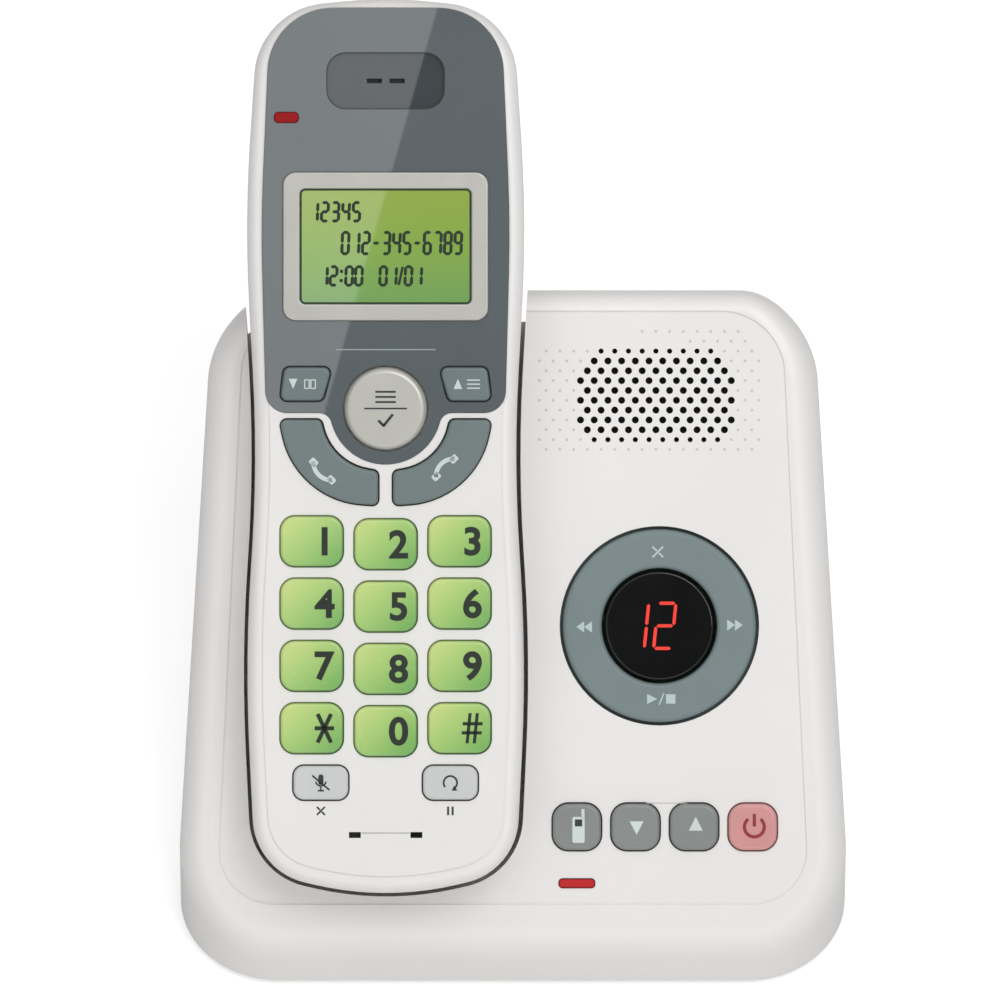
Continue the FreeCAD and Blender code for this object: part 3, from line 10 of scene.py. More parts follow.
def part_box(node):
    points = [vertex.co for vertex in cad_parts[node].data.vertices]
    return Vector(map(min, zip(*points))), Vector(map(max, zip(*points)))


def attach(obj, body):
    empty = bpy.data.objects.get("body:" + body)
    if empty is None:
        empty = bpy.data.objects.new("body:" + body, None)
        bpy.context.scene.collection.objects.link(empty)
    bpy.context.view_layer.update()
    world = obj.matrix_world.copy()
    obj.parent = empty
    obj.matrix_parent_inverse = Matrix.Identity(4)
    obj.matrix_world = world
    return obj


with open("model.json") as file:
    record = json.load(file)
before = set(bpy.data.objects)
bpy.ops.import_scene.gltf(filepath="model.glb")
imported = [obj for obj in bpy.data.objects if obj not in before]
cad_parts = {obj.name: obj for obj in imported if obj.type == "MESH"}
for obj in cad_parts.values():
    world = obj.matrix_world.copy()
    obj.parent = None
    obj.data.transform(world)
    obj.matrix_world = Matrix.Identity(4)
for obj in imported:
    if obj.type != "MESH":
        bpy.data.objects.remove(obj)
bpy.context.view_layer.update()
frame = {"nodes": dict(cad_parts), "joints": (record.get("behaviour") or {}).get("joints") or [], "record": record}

# Lengths are in millimetres until a point is turned into the frame's metres.
MM = 0.001
ABOVE_ALL = 200.0
NODES = frame["nodes"]
JOINTS = {joint["name"]: joint for joint in frame["joints"]}
BODIES = frame["record"]["behaviour"]["bodies"]
BODY_OF = {node: body for body, nodes in BODIES.items() for node in nodes}

COLOR_A, COLOR_B, COLOR_RESULT = 6, 7, 2  # sockets of a mix node that mixes colours
NOISE_RANGE = (0.3, 0.7)  # where nearly all of a noise's values lie
PRINT_THICKNESS = 0.03
PRINT_LIFT = 0.012  # keeps a print's underside clear of the face it lies on
DISH_PROBE = 6.5  # from the middle of the earpiece's dish to the panel's face beside it
FONT_SIZE_TO_FIGURE = 1.37  # the font's size over the height of its figures
NARROW_MARK = 0.6  # width of a colon or slash over that of a figure
SEGMENTS = {
    "0": "abcdef", "1": "bc", "2": "abdeg", "3": "abcdg", "4": "bcfg",
    "5": "acdfg", "6": "acdefg", "7": "abc", "8": "abcdefg", "9": "abcdfg", "-": "g",
}
GRILLE_MIDDLE, GRILLE_TOP = 26.6, 58.13  # the grille's middle line and top row
HOLE_PITCH, ROW_PITCH = 2.55, 1.83
DIMPLE_RADIUS = 0.28
# how far under the deck's face the sheet of painted shade behind the grille lies
SHADE_SHEET_DEPTH = 2.0
FLOOR_HALF = 3.0  # metres
FLOOR_GLOW = 0.5  # keeps the floor white in the picture without lighting the machine from below
CAMERA_DISTANCE = 4000.0
VIEW_WIDTH = 186.0
AIM = (-2.4, 30.43, 52.19)
CARD_TURN = -15.6
CARD_WIDTH, CARD_HEIGHT = 300.0, 620.0
CARD_EDGE = Vector((-39.8, 123.0))

# The sloping deck gives the directions in which nearly everything lies.
ACROSS = Vector((1, 0, 0))
UP_SLOPE = Vector(JOINTS["ring_rock_left_right"]["axis"])
OUT = Vector(JOINTS["handset_lift"]["axis"])
SLOPE = Matrix((ACROSS, UP_SLOPE, OUT)).transposed()


def slope_box(node):
    """Lowest and highest corners of a CAD node along the slope's own directions, in millimetres."""
    turn = SLOPE.transposed()
    spots = [turn @ vertex.co for vertex in NODES[node].data.vertices]
    low = Vector([min(spot[axis] for spot in spots) for axis in range(3)])
    high = Vector([max(spot[axis] for spot in spots) for axis in range(3)])
    return low / MM, high / MM


def middle_of(node):
    """Middle of a node seen square to the slope."""
    low, high = slope_box(node)
    return (low.x + high.x) / 2, (low.y + high.y) / 2


def in_frame(x, y, level):
    """A point given along the slope's directions, in the frame's metres."""
    return SLOPE @ Vector((x, y, level)) * MM


def level_at(node, x, y):
    """How far out the face of a CAD node lies at a place on the slope."""
    mesh = NODES[node].data
    corners = [vertex.co for vertex in mesh.vertices]
    tree = BVHTree.FromPolygons(corners, [face.vertices for face in mesh.polygons])
    spot = tree.ray_cast(in_frame(x, y, ABOVE_ALL), -OUT)[0]
    return spot.dot(OUT) / MM


# materials


class Nodes:
    """Adds shader nodes to a material and links them."""

    def __init__(self, name):
        self.material = bpy.data.materials.new(name)
        self.material.use_nodes = True
        self.tree = self.material.node_tree
        self.tree.nodes.clear()
        output = self.tree.nodes.new("ShaderNodeOutputMaterial")
        self.shader = self.tree.nodes.new("ShaderNodeBsdfPrincipled")
        self.link(self.shader.outputs["BSDF"], output.inputs["Surface"])
        coordinates = self.tree.nodes.new("ShaderNodeTexCoord")
        self.place = coordinates.outputs["Object"]

    def link(self, start, end):
        self.tree.links.new(start, end)

    def noise(self, scale, detail=2.0, rough=0.5):
        node = self.tree.nodes.new("ShaderNodeTexNoise")
        node.inputs["Scale"].default_value = scale
        node.inputs["Detail"].default_value = detail
        node.inputs["Roughness"].default_value = rough
        self.link(self.place, node.inputs["Vector"])
        return node.outputs["Fac"]

    def ramp(self, source, stops):
        """A colour ramp; each stop is a place and a colour."""
        node = self.tree.nodes.new("ShaderNodeValToRGB")
        elements = node.color_ramp.elements
        while len(elements) < len(stops):
            elements.new(0.5)
        for element, (spot, color) in zip(elements, stops):
            element.position = spot
            element.color = (*color, 1)
        self.link(source, node.inputs["Fac"])
        return node.outputs["Color"]

    def map_range(self, source, low, high, to_low, to_high):
        node = self.tree.nodes.new("ShaderNodeMapRange")
        for name, value in (("From Min", low), ("From Max", high), ("To Min", to_low), ("To Max", to_high)):
            node.inputs[name].default_value = value
        self.link(source, node.inputs["Value"])
        return node.outputs["Result"]

    def along(self, source, direction):
        """How far the source lies along a direction."""
        node = self.tree.nodes.new("ShaderNodeVectorMath")
        node.operation = "DOT_PRODUCT"
        node.inputs[1].default_value = direction
        self.link(source, node.inputs[0])
        return node.outputs["Value"]

    def repeated(self, direction, start, pitch):
        """How far through its step a place is, in steps of pitch from start along a direction, 0 to 1."""
        steps = self.map_range(self.along(self.place, direction), start * MM, (start + pitch) * MM, 0.0, 1.0)
        steps.node.clamp = False
        node = self.tree.nodes.new("ShaderNodeMath")
        node.operation = "FRACT"
        self.link(steps, node.inputs[0])
        return node.outputs["Value"]

    def tinted(self, color, tint, share):
        """A colour multiplied by a tint where the share is 1."""
        node = self.tree.nodes.new("ShaderNodeMix")
        node.data_type = "RGBA"
        node.blend_type = "MULTIPLY"
        self.link(share, node.inputs["Factor"])
        self.link(color, node.inputs[COLOR_A])
        node.inputs[COLOR_B].default_value = (*tint, 1)
        return node.outputs[COLOR_RESULT]

    def rough_from(self, scale, detail, low, high):
        """Let the roughness run between two values in a noise of a scale."""
        spread = self.map_range(self.noise(scale, detail), *NOISE_RANGE, low, high)
        self.link(spread, self.shader.inputs["Roughness"])

    def bump(self, source, depth):
        """Raise the surface by depth, in millimetres, where the source is 1."""
        node = self.tree.nodes.new("ShaderNodeBump")
        node.inputs["Strength"].default_value = 1.0
        node.inputs["Distance"].default_value = depth * MM
        self.link(source, node.inputs["Height"])
        self.link(node.outputs["Normal"], self.shader.inputs["Normal"])

    def set(self, **values):
        for name, value in values.items():
            self.shader.inputs[name.replace("_", " ")].default_value = value


def shade(color, factor):
    return tuple(min(1.0, part * factor) for part in color)


def moulded(name, color, roughness, tone=0.04, grain=2600.0, depth=0.004, gloss=0.08):
    """Moulded plastic: faint drift of tone, a fine grain and a gloss that isn't quite even."""
    nodes = Nodes(name)
    drift = nodes.noise(35.0, 3.0)
    stops = [(0.3, shade(color, 1 - tone)), (0.7, shade(color, 1 + tone / 2))]
    nodes.link(nodes.ramp(drift, stops), nodes.shader.inputs["Base Color"])
    patches = nodes.noise(210.0, 4.0, 0.6)
    spread = nodes.map_range(patches, *NOISE_RANGE, roughness - gloss / 2, roughness + gloss / 2)
    nodes.link(spread, nodes.shader.inputs["Roughness"])
    nodes.bump(nodes.noise(grain, 2.0), depth)
    return nodes


def srgb(red, green, blue):
    """A colour given as it looks on a screen, 0 to 255, turned into linear light."""
    parts = []
    for part in (red, green, blue):
        part /= 255
        parts.append(part / 12.92 if part <= 0.04045 else ((part + 0.055) / 1.055) ** 2.4)
    return tuple(parts)


def white_plastic():
    """The housings' plastic, with a faint sheen."""
    nodes = moulded("white_plastic", srgb(234, 232, 230), 0.34, tone=0.02, grain=3200.0, depth=0.002)
    nodes.set(Coat_Weight=0.25, Coat_Roughness=0.12)
    return nodes.material


def dark_plastic():
    return moulded("dark_plastic", srgb(44, 45, 47), 0.55, tone=0.15, grain=1800.0, depth=0.012).material


def slate_gloss(face_level):
    """The panel of the handset's face: painted from behind, under clear plastic, with painted shade that darkens
    it wherever it lies below its face.
    """
    nodes = moulded("slate_gloss", srgb(83, 92, 96), 0.3, tone=0.06, grain=4200.0, depth=0.0003, gloss=0.05)
    paint = nodes.shader.inputs["Base Color"].links[0].from_socket
    # painted shade: where the panel lies more than a few tenths of a millimetre below its face, its colour is
    # darkened
    level = nodes.along(nodes.place, OUT)
    sunk_painted_shade = nodes.map_range(level, (face_level - 0.15) * MM, (face_level - 0.35) * MM, 0.0, 1.0)
    nodes.link(nodes.tinted(paint, (0.24, 0.3, 0.32), sunk_painted_shade), nodes.shader.inputs["Base Color"])
    nodes.set(Coat_Weight=1.0, Coat_Roughness=0.006, Coat_IOR=1.5)
    return nodes.material


def slate_satin():
    nodes = moulded("slate_satin", srgb(104, 118, 121), 0.36, tone=0.05, grain=3000.0, depth=0.003)
    nodes.set(Coat_Weight=0.35, Coat_Roughness=0.15)
    return nodes.material


def ring_satin():
    nodes = moulded("ring_satin", srgb(116, 131, 132), 0.5, tone=0.06, grain=2200.0, depth=0.006)
    nodes.set(Coat_Weight=0.12, Coat_Roughness=0.3)
    return nodes.material


def grey_key_plastic():
    nodes = moulded("grey_key_plastic", srgb(132, 136, 135), 0.38, tone=0.06, grain=2600.0, depth=0.004)
    nodes.set(Coat_Weight=0.3, Coat_Roughness=0.2)
    return nodes.material


def silver_paint():
    """Silver paint with fine metal flakes."""
    nodes = Nodes("silver_paint")
    flakes = nodes.noise(14000.0, 1.0)
    tones = [(0.35, srgb(184, 183, 176)), (0.65, srgb(196, 195, 188))]
    nodes.link(nodes.ramp(flakes, tones), nodes.shader.inputs["Base Color"])
    nodes.rough_from(160.0, 3.0, 0.3, 0.4)
    nodes.bump(nodes.noise(9000.0, 1.0), 0.0003)
    nodes.set(Metallic=0.35, Coat_Weight=0.4, Coat_Roughness=0.12)
    return nodes.material


def green_key_plastic(first, column_pitch, row_pitch):
    """Clear caps with painted light, as if lit from one side: yellow-green at the upper left, purer green at the
    lower right, and a faint painted glow.

    first is the middle of the key at the upper left, from which the others repeat.
    """
    nodes = Nodes("green_key_plastic")
    across = nodes.repeated(ACROSS, first[0] - column_pitch / 2, column_pitch)
    up = nodes.repeated(UP_SLOPE, first[1] - row_pitch / 2, row_pitch)
    # painted light: across each key the colour runs from lit yellow-green at its upper left to shaded green at its
    # lower right
    painted_light_slant = nodes.tree.nodes.new("ShaderNodeMath")
    painted_light_slant.operation = "SUBTRACT"
    nodes.link(across, painted_light_slant.inputs[0])
    nodes.link(up, painted_light_slant.inputs[1])
    tones = [(0.0, srgb(198, 214, 132)), (0.4, srgb(168, 202, 116)), (1.0, srgb(112, 172, 88))]
    caps = nodes.ramp(nodes.map_range(painted_light_slant.outputs["Value"], -0.7, 0.7, 0.0, 1.0), tones)
    patches = nodes.map_range(nodes.noise(300.0, 3.0), *NOISE_RANGE, 0.0, 0.5)
    color = nodes.tinted(caps, (0.94, 0.97, 0.92), patches)
    nodes.link(color, nodes.shader.inputs["Base Color"])
    # painted glow: the caps give off a little light of their own
    nodes.link(color, nodes.shader.inputs["Emission Color"])
    nodes.rough_from(240.0, 3.0, 0.2, 0.28)
    nodes.bump(nodes.noise(1500.0), 0.002)
    nodes.set(Coat_Weight=0.6, Coat_Roughness=0.08, Emission_Strength=0.08)
    return nodes.material


def red_clear_plastic(name, color, light, gloss):
    nodes = moulded(name, color, 0.25, tone=0.08, grain=1500.0, depth=0.003)
    nodes.set(Subsurface_Weight=0.3, Subsurface_Radius=(0.003, 0.001, 0.001), Coat_Weight=gloss)
    nodes.set(Coat_Roughness=0.1, Specular_IOR_Level=gloss)
    nodes.set(Emission_Color=(*color, 1), Emission_Strength=light)
    return nodes.material


def black_glass():
    nodes = moulded("black_glass", srgb(8, 9, 10), 0.12, tone=0.2, grain=4000.0, depth=0.0004, gloss=0.03)
    nodes.set(Coat_Weight=0.6, Coat_Roughness=0.02, Specular_IOR_Level=0.2)
    return nodes.material


def display_green(low, high):
    """The lit display: yellow-green above, purer green below, over the fine dots of its light guide."""
    nodes = Nodes("display_green")
    split = nodes.tree.nodes.new("ShaderNodeSeparateXYZ")
    nodes.link(nodes.place, split.inputs["Vector"])
    fall = nodes.map_range(split.outputs["Z"], low, high, 0.0, 1.0)
    tones = [(0.0, srgb(98, 146, 78)), (0.55, srgb(120, 156, 58)), (1.0, srgb(132, 156, 54))]
    color = nodes.ramp(fall, tones)
    nodes.link(color, nodes.shader.inputs["Base Color"])
    nodes.link(color, nodes.shader.inputs["Emission Color"])
    nodes.rough_from(900.0, 1.0, 0.12, 0.18)
    nodes.bump(nodes.noise(2600.0, 1.0), 0.0006)
    nodes.set(Emission_Strength=0.2, Coat_Weight=1.0, Coat_Roughness=0.008)
    return nodes.material


def metal(name, color, roughness):
    """Bare metal, its gloss a little patchy."""
    nodes = moulded(name, color, roughness, tone=0.1, grain=900.0, depth=0.004, gloss=0.12)
    nodes.set(Metallic=1.0)
    return nodes.material


def circuit_board():
    """Green lacquer over copper tracks."""
    nodes = Nodes("circuit_board")
    tracks = nodes.tree.nodes.new("ShaderNodeTexVoronoi")
    tracks.distance = "MANHATTAN"
    tracks.inputs["Scale"].default_value = 420.0
    nodes.link(nodes.place, tracks.inputs["Vector"])
    tones = [(0.15, srgb(64, 128, 74)), (0.3, srgb(22, 74, 40))]
    nodes.link(nodes.ramp(tracks.outputs["Distance"], tones), nodes.shader.inputs["Base Color"])
    nodes.rough_from(300.0, 2.0, 0.25, 0.4)
    nodes.bump(tracks.outputs["Distance"], 0.02)
    return nodes.material


def rubber():
    return moulded("rubber", srgb(58, 59, 60), 0.75, tone=0.15, grain=1400.0, depth=0.015).material


def ink(name, color, roughness=0.5):
    """Printed paint: a slightly uneven film."""
    return moulded(name, color, roughness, tone=0.08, grain=3500.0, depth=0.002).material


def glow(name, color, strength):
    """Lit segments, a little brighter in places."""
    nodes = moulded(name, color, 0.3, tone=0.15, grain=3000.0, depth=0.001)
    nodes.set(Emission_Color=(*color, 1), Emission_Strength=strength)
    return nodes.material


def dress(material, *names):
    """Give CAD nodes a material."""
    for name in names:
        node = NODES[name]
        node.data.materials.clear()
        node.data.materials.append(material)


# flat shapes, in millimetres

def disc(x, y, radius, count=40):
    steps = [2 * math.pi * index / count for index in range(count)]
    return [(x + radius * math.cos(step), y + radius * math.sin(step)) for step in steps]


def bar(start, end, width):
    """A straight stroke with square ends."""
    along = Vector(end) - Vector(start)
    side = Vector((-along.y, along.x)).normalized() * width / 2
    corners = (Vector(start) + side, Vector(start) - side, Vector(end) - side, Vector(end) + side)
    return [tuple(corner) for corner in corners]


def triangle(x, y, width, height, turn):
    """A triangle about x, y that points up when turn is 0, in degrees to the left."""
    angle = math.radians(turn)
    points = ((-width / 2, -height / 2), (width / 2, -height / 2), (0, height / 2))
    cos, sin = math.cos(angle), math.sin(angle)
    return [(x + a * cos - b * sin, y + a * sin + b * cos) for a, b in points]


def block(x, y, width, height, corner=0.0):
    """A rectangle about x, y, its corners rounded."""
    if not corner:
        left, right, low, high = x - width / 2, x + width / 2, y - height / 2, y + height / 2
        return [(left, low), (right, low), (right, high), (left, high)]
    points = []
    for turn, side, level in ((0, 1, 1), (90, -1, 1), (180, -1, -1), (270, 1, -1)):
        for step in range(7):
            angle = math.radians(turn + 15 * step)
            a = x + side * (width / 2 - corner) + corner * math.cos(angle)
            b = y + level * (height / 2 - corner) + corner * math.sin(angle)
            points.append((a, b))
    return points


def arc_band(x, y, inner, outer, start, end, count=24):
    """Part of a ring between two angles, in degrees."""
    turns = [math.radians(start + (end - start) * index / count) for index in range(count + 1)]
    rim = [(x + outer * math.cos(turn), y + outer * math.sin(turn)) for turn in turns]
    return rim + [(x + inner * math.cos(turn), y + inner * math.sin(turn)) for turn in reversed(turns)]


def turned(loops, degrees):
    angle = math.radians(degrees)
    cos, sin = math.cos(angle), math.sin(angle)
    return [[(x * cos - y * sin, x * sin + y * cos) for x, y in loop] for loop in loops]


def slanted(loops, lean):
    """Lean upright shapes to the right."""
    return [[(x + y * lean, y) for x, y in loop] for loop in loops]


def printed(name, node, mesh, material):
    """Put a mesh of thin printed shapes on a CAD node, to move with the node's body."""
    mesh.name = name
    mesh.materials.clear()
    mesh.materials.append(material)
    piece = bpy.data.objects.new(name, mesh)
    bpy.context.scene.collection.objects.link(piece)
    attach(piece, BODY_OF[node])
    return piece


def stamp(name, node, loops, x, y, material, slot, thickness=PRINT_THICKNESS, probe=(0, 0), lift=PRINT_LIFT):
    """Thin raised shapes on a face that lies square to the slope; probe is where its level is taken."""
    level = level_at(node, x + probe[0], y + probe[1]) + lift
    form = bmesh.new()
    for loop in loops:
        area = sum(a[0] * b[1] - b[0] * a[1] for a, b in zip(loop, loop[1:] + loop[:1]))
        if area < 0:
            loop = loop[::-1]
        low = [form.verts.new(in_frame(x + a, y + b, level)) for a, b in loop]
        high = [form.verts.new(in_frame(x + a, y + b, level + thickness)) for a, b in loop]
        form.faces.new(high)
        form.faces.new(low[::-1])
        for index in range(len(loop)):
            after = (index + 1) % len(loop)
            form.faces.new((low[index], low[after], high[after], high[index]))
    bmesh.ops.triangulate(form, faces=[face for face in form.faces if len(face.verts) > 4])
    mesh = bpy.data.meshes.new(name)
    form.to_mesh(mesh)
    form.free()
    return printed(name, node, mesh, material)


def lettered(name, node, text, height, x, y, material, squeeze=0.8, weight=0.0, lean=0.0):
    """Figures of the built-in font, laid on a face; x, y is the middle of the text."""
    level = level_at(node, x, y) + PRINT_LIFT + PRINT_THICKNESS / 2
    curve = bpy.data.curves.new(name, "FONT")
    curve.body = text
    curve.size = height * FONT_SIZE_TO_FIGURE
    curve.offset = weight
    curve.shear = lean
    curve.resolution_u = 6
    curve.extrude = PRINT_THICKNESS / 2
    source = bpy.data.objects.new(name, curve)
    bpy.context.scene.collection.objects.link(source)
    bpy.context.view_layer.update()
    mesh = bpy.data.meshes.new_from_object(source)
    bpy.data.objects.remove(source)
    xs = [vertex.co.x for vertex in mesh.vertices]
    ys = [vertex.co.y for vertex in mesh.vertices]
    middle_x, middle_y = (min(xs) + max(xs)) / 2, (min(ys) + max(ys)) / 2
    for vertex in mesh.vertices:
        across, up, out = vertex.co
        vertex.co = in_frame(x + (across - middle_x) * squeeze, y + up - middle_y, level + out)
    return printed(name, node, mesh, material)


# signs and figures


def seven_segment(figure, width, height, stroke, gap=0.0):
    """Strokes of a figure about 0, 0, with pointed ends that stop short of each other by the gap."""
    w, h = width / 2, height / 2
    ends = {
        "a": ((-w, h), (w, h)),
        "b": ((w, h), (w, 0)),
        "c": ((w, 0), (w, -h)),
        "d": ((-w, -h), (w, -h)),
        "e": ((-w, 0), (-w, -h)),
        "f": ((-w, h), (-w, 0)),
        "g": ((-w, 0), (w, 0)),
    }
    loops = []
    for segment in SEGMENTS[figure]:
        start, end = Vector(ends[segment][0]), Vector(ends[segment][1])
        along = (end - start).normalized()
        side = Vector((-along.y, along.x)) * stroke / 2
        start, end = start + along * gap, end - along * gap
        tip = along * stroke / 2
        points = (start, start + tip + side, end - tip + side, end, end - tip - side, start + tip - side)
        loops.append([tuple(point) for point in points])
    return loops


def figures(text, width, height, stroke, pitch, lean):
    """A row of seven-segment figures, its middle at 0, 0; a colon is two dots and a slash a stroke."""
    shares = [NARROW_MARK if mark in ":/" else 1 for mark in text]
    x = -sum(shares) * pitch / 2
    loops = []
    for mark, share in zip(text, shares):
        x += share * pitch / 2
        if mark == ":":
            marks = [block(0, side * height / 4, stroke, stroke) for side in (-1, 1)]
        elif mark == "/":
            marks = [bar((-width / 4, -height / 2), (width / 4, height / 2), stroke * 0.8)]
        else:
            marks = seven_segment(mark, width, height, stroke)
        loops += [[(x + a, b) for a, b in loop] for loop in marks]
        x += share * pitch / 2
    return slanted(loops, lean)


def handset_sign(size):
    """A telephone receiver: a bent grip with a cup at each end."""
    grip = arc_band(0, -size * 0.62, size * 0.78, size * 1.0, 42, 138)
    cups = [block(side * size * 0.62, 0, size * 0.42, size * 0.34, size * 0.08) for side in (-1, 1)]
    return [grip] + cups


def cordless_sign(size):
    """A small upright handset with an aerial; its dark window is drawn apart."""
    return [
        block(0, -size * 0.1, size * 0.52, size * 1.1, size * 0.08),
        bar((size * 0.19, size * 0.4), (size * 0.19, size * 0.78), size * 0.13),
    ]


def power_sign(radius, stroke):
    """A ring, open at the top, with a stroke in the gap."""
    ring = arc_band(0, 0, radius - stroke / 2, radius + stroke / 2, 128, 412)
    return [ring, bar((0, radius * 0.05), (0, radius * 1.3), stroke)]


def cross_sign(size, stroke):
    arm = size / 2
    centre = stroke / 2
    loops = [bar((-arm, -arm), (arm, arm), stroke)]
    for way in (1, -1):
        loops.append(bar((-arm * way, arm * way), (-centre * way, centre * way), stroke))
    return loops


def double_arrow(way, width, height):
    """Two triangles that point left when way is -1 and right when it is 1."""
    turn = 90 if way < 0 else -90
    return [triangle(way * shift * width / 4, 0, height, width / 2, turn) for shift in (-1, 1)]


def microphone_sign(size):
    """A microphone on its stand, struck through."""
    return [
        block(0, size * 0.18, size * 0.3, size * 0.6, size * 0.14),
        arc_band(0, size * 0.12, size * 0.26, size * 0.35, 190, 350, 12),
        bar((0, -size * 0.24), (0, -size * 0.44), size * 0.09),
        bar((-size * 0.18, -size * 0.46), (size * 0.18, -size * 0.46), size * 0.09),
        bar((-size * 0.5, size * 0.42), (size * 0.5, -size * 0.42), size * 0.1),
    ]


def repeat_sign(radius, stroke):
    """A turning arrow."""
    ring = arc_band(0, 0, radius - stroke / 2, radius + stroke / 2, -60, 220)
    head = triangle(radius * 0.5, -radius * 0.98, stroke * 3.2, stroke * 2.6, 122)
    return [ring, head]


def list_sign(width, pitch, stroke):
    return [block(0, pitch * row, width, stroke) for row in (-1, 0, 1)]


def tick_sign(size, stroke):
    short = bar((-size / 2, 0), (-size * 0.1, -size * 0.4), stroke)
    long = bar((-size * 0.16, -size * 0.4), (size / 2, size * 0.42), stroke)
    return [short, long]


def book_sign(size, stroke):
    """Two facing pages."""
    loops = []
    for side in (-1, 1):
        x = side * size * 0.3
        for edge in (-1, 1):
            loops.append(block(x + edge * size * 0.22, 0, stroke, size * 0.9))
            loops.append(block(x, edge * size * 0.42, size * 0.44 - stroke, stroke))
    return loops


def star_sign(width, height, stroke, bar_width):
    """Two steep crossed arms and a level one."""
    arms = [bar((-side * width / 2, -height / 2), (side * width / 2, height / 2), stroke) for side in (-1, 1)]
    return arms + [block(0, 0, bar_width, stroke)]


def outline_band(width, height, corner, stroke):
    """The edge of a rounded rectangle as a narrow band."""
    outer = block(0, 0, width, height, corner)
    inner = block(0, 0, width - stroke * 2, height - stroke * 2, corner - stroke)
    loops = []
    for index in range(len(outer)):
        after = (index + 1) % len(outer)
        loops.append([outer[index], outer[after], inner[after], inner[index]])
    return loops


def hash_sign(width, height, stroke, lean):
    loops = []
    for side in (-1, 1):
        loops.append(bar((side * width * 0.18, -height / 2), (side * width * 0.18, height / 2), stroke))
        loops.append(bar((-width / 2, side * height * 0.15), (width / 2, side * height * 0.15), stroke))
    return slanted(loops, lean)


# the CAD nodes' finishes

WHITE = white_plastic()
DARK = dark_plastic()
STEEL = metal("zinc_steel", srgb(168, 168, 170), 0.32)
NICKEL = metal("nickel", srgb(206, 203, 196), 0.22)
BOARD = circuit_board()
RUBBER = rubber()
SATIN = slate_satin()
DISPLAY = display_green(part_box("lcd_window")[0].z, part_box("lcd_window")[1].z)
KEY_COLUMN_PITCH = middle_of("dial_key_2")[0] - middle_of("dial_key_1")[0]
KEY_ROW_PITCH = middle_of("dial_key_1")[1] - middle_of("dial_key_4")[1]
GREEN = green_key_plastic(middle_of("dial_key_1"), KEY_COLUMN_PITCH, KEY_ROW_PITCH)

dress(WHITE, "base_upper_housing", "handset_front_housing", "handset_rear_housing", "battery_door")
dress(DARK, "base_bottom_cover", "base_loudspeaker", "message_counter_module", "telephone_line_jack")
dress(DARK, "power_inlet_jack", "earpiece_receiver", "handset_microphone", "base_tact_switches")
dress(RUBBER, "rubber_feet", "keypad_rubber_mat", "ring_key_web")
dress(STEEL, "base_housing_screws", "handset_housing_screws", "radio_shield_can", "base_antenna")
dress(STEEL, "battery_cells")
dress(NICKEL, "cradle_charge_contacts", "handset_charge_contacts")
dress(BOARD, "base_circuit_board", "socket_circuit_board", "handset_circuit_board")
dress(black_glass(), "display_lens")
dress(ring_satin(), "ring_key_cap")
dress(grey_key_plastic(), "find_handset_button", "volume_down_button", "volume_up_button")
dress(moulded("pale_grey_keys", srgb(202, 205, 203), 0.4).material, "mute_key", "redial_key")
dress(slate_gloss(slope_box("handset_face_panel")[1].z), "handset_face_panel")
dress(moulded("call_keys", srgb(110, 124, 124), 0.35).material, "talk_key", "off_key")
dress(SATIN, "handset_volume_down_key", "handset_volume_up_key")
dress(silver_paint(), "menu_select_key", "lcd_frame")
dress(DISPLAY, "lcd_window", "lcd_module")
dress(GREEN, *[f"dial_key_{name}" for name in (*range(10), "star", "hash")])
dress(red_clear_plastic("in_use_red", srgb(186, 30, 32), 0.12, 0.4), "in_use_light_pipe")
dress(red_clear_plastic("charge_red", srgb(150, 10, 18), 0.1, 0.12), "charge_light_pipe")
dress(red_clear_plastic("power_key_red", srgb(210, 150, 148), 0.06, 0.4), "answer_power_button")

# printed and lit signs

DARK_INK = ink("dark_ink", srgb(38, 43, 45))
GREEN_INK = ink("green_ink", srgb(10, 28, 12))
PALE_INK = ink("pale_ink", srgb(205, 216, 214))
ICE_INK = ink("ice_ink", srgb(186, 204, 205))
RED_INK = ink("red_ink", srgb(146, 34, 40))
GREY_LINE = ink("grey_line", srgb(188, 186, 182))
FAINT_INK = ink("faint_ink", srgb(148, 158, 158))
# painted shade: the colour of the shade inside the deck's blind dimples
DIMPLE_SHADE_INK = ink("dimple_shade_ink", srgb(204, 203, 200))
SEGMENT_INK = ink("segment_ink", srgb(16, 42, 14), 0.3)
RED_GLOW = glow("red_glow", srgb(206, 48, 36), 0.7)

# the dial keys
dial_names = [(str(figure), f"dial_key_{figure}") for figure in range(10)]
for figure, node in dial_names:
    x, y = middle_of(node)
    lettered(f"{node}_figure", node, figure, 5.2, x + 2.4, y, GREEN_INK, 1.02, 0.2)
x, y = middle_of("dial_key_star")
star = star_sign(2.5, 5.3, 0.75, 3.6)
stamp("dial_key_star_sign", "dial_key_star", star, x + 2.35, y, GREEN_INK, "dark_plastic")
x, y = middle_of("dial_key_hash")
number_sign = hash_sign(3.7, 5.6, 0.6, 0.1)
stamp("dial_key_hash_sign", "dial_key_hash", number_sign, x + 2.35, y, GREEN_INK, "dark_plastic")

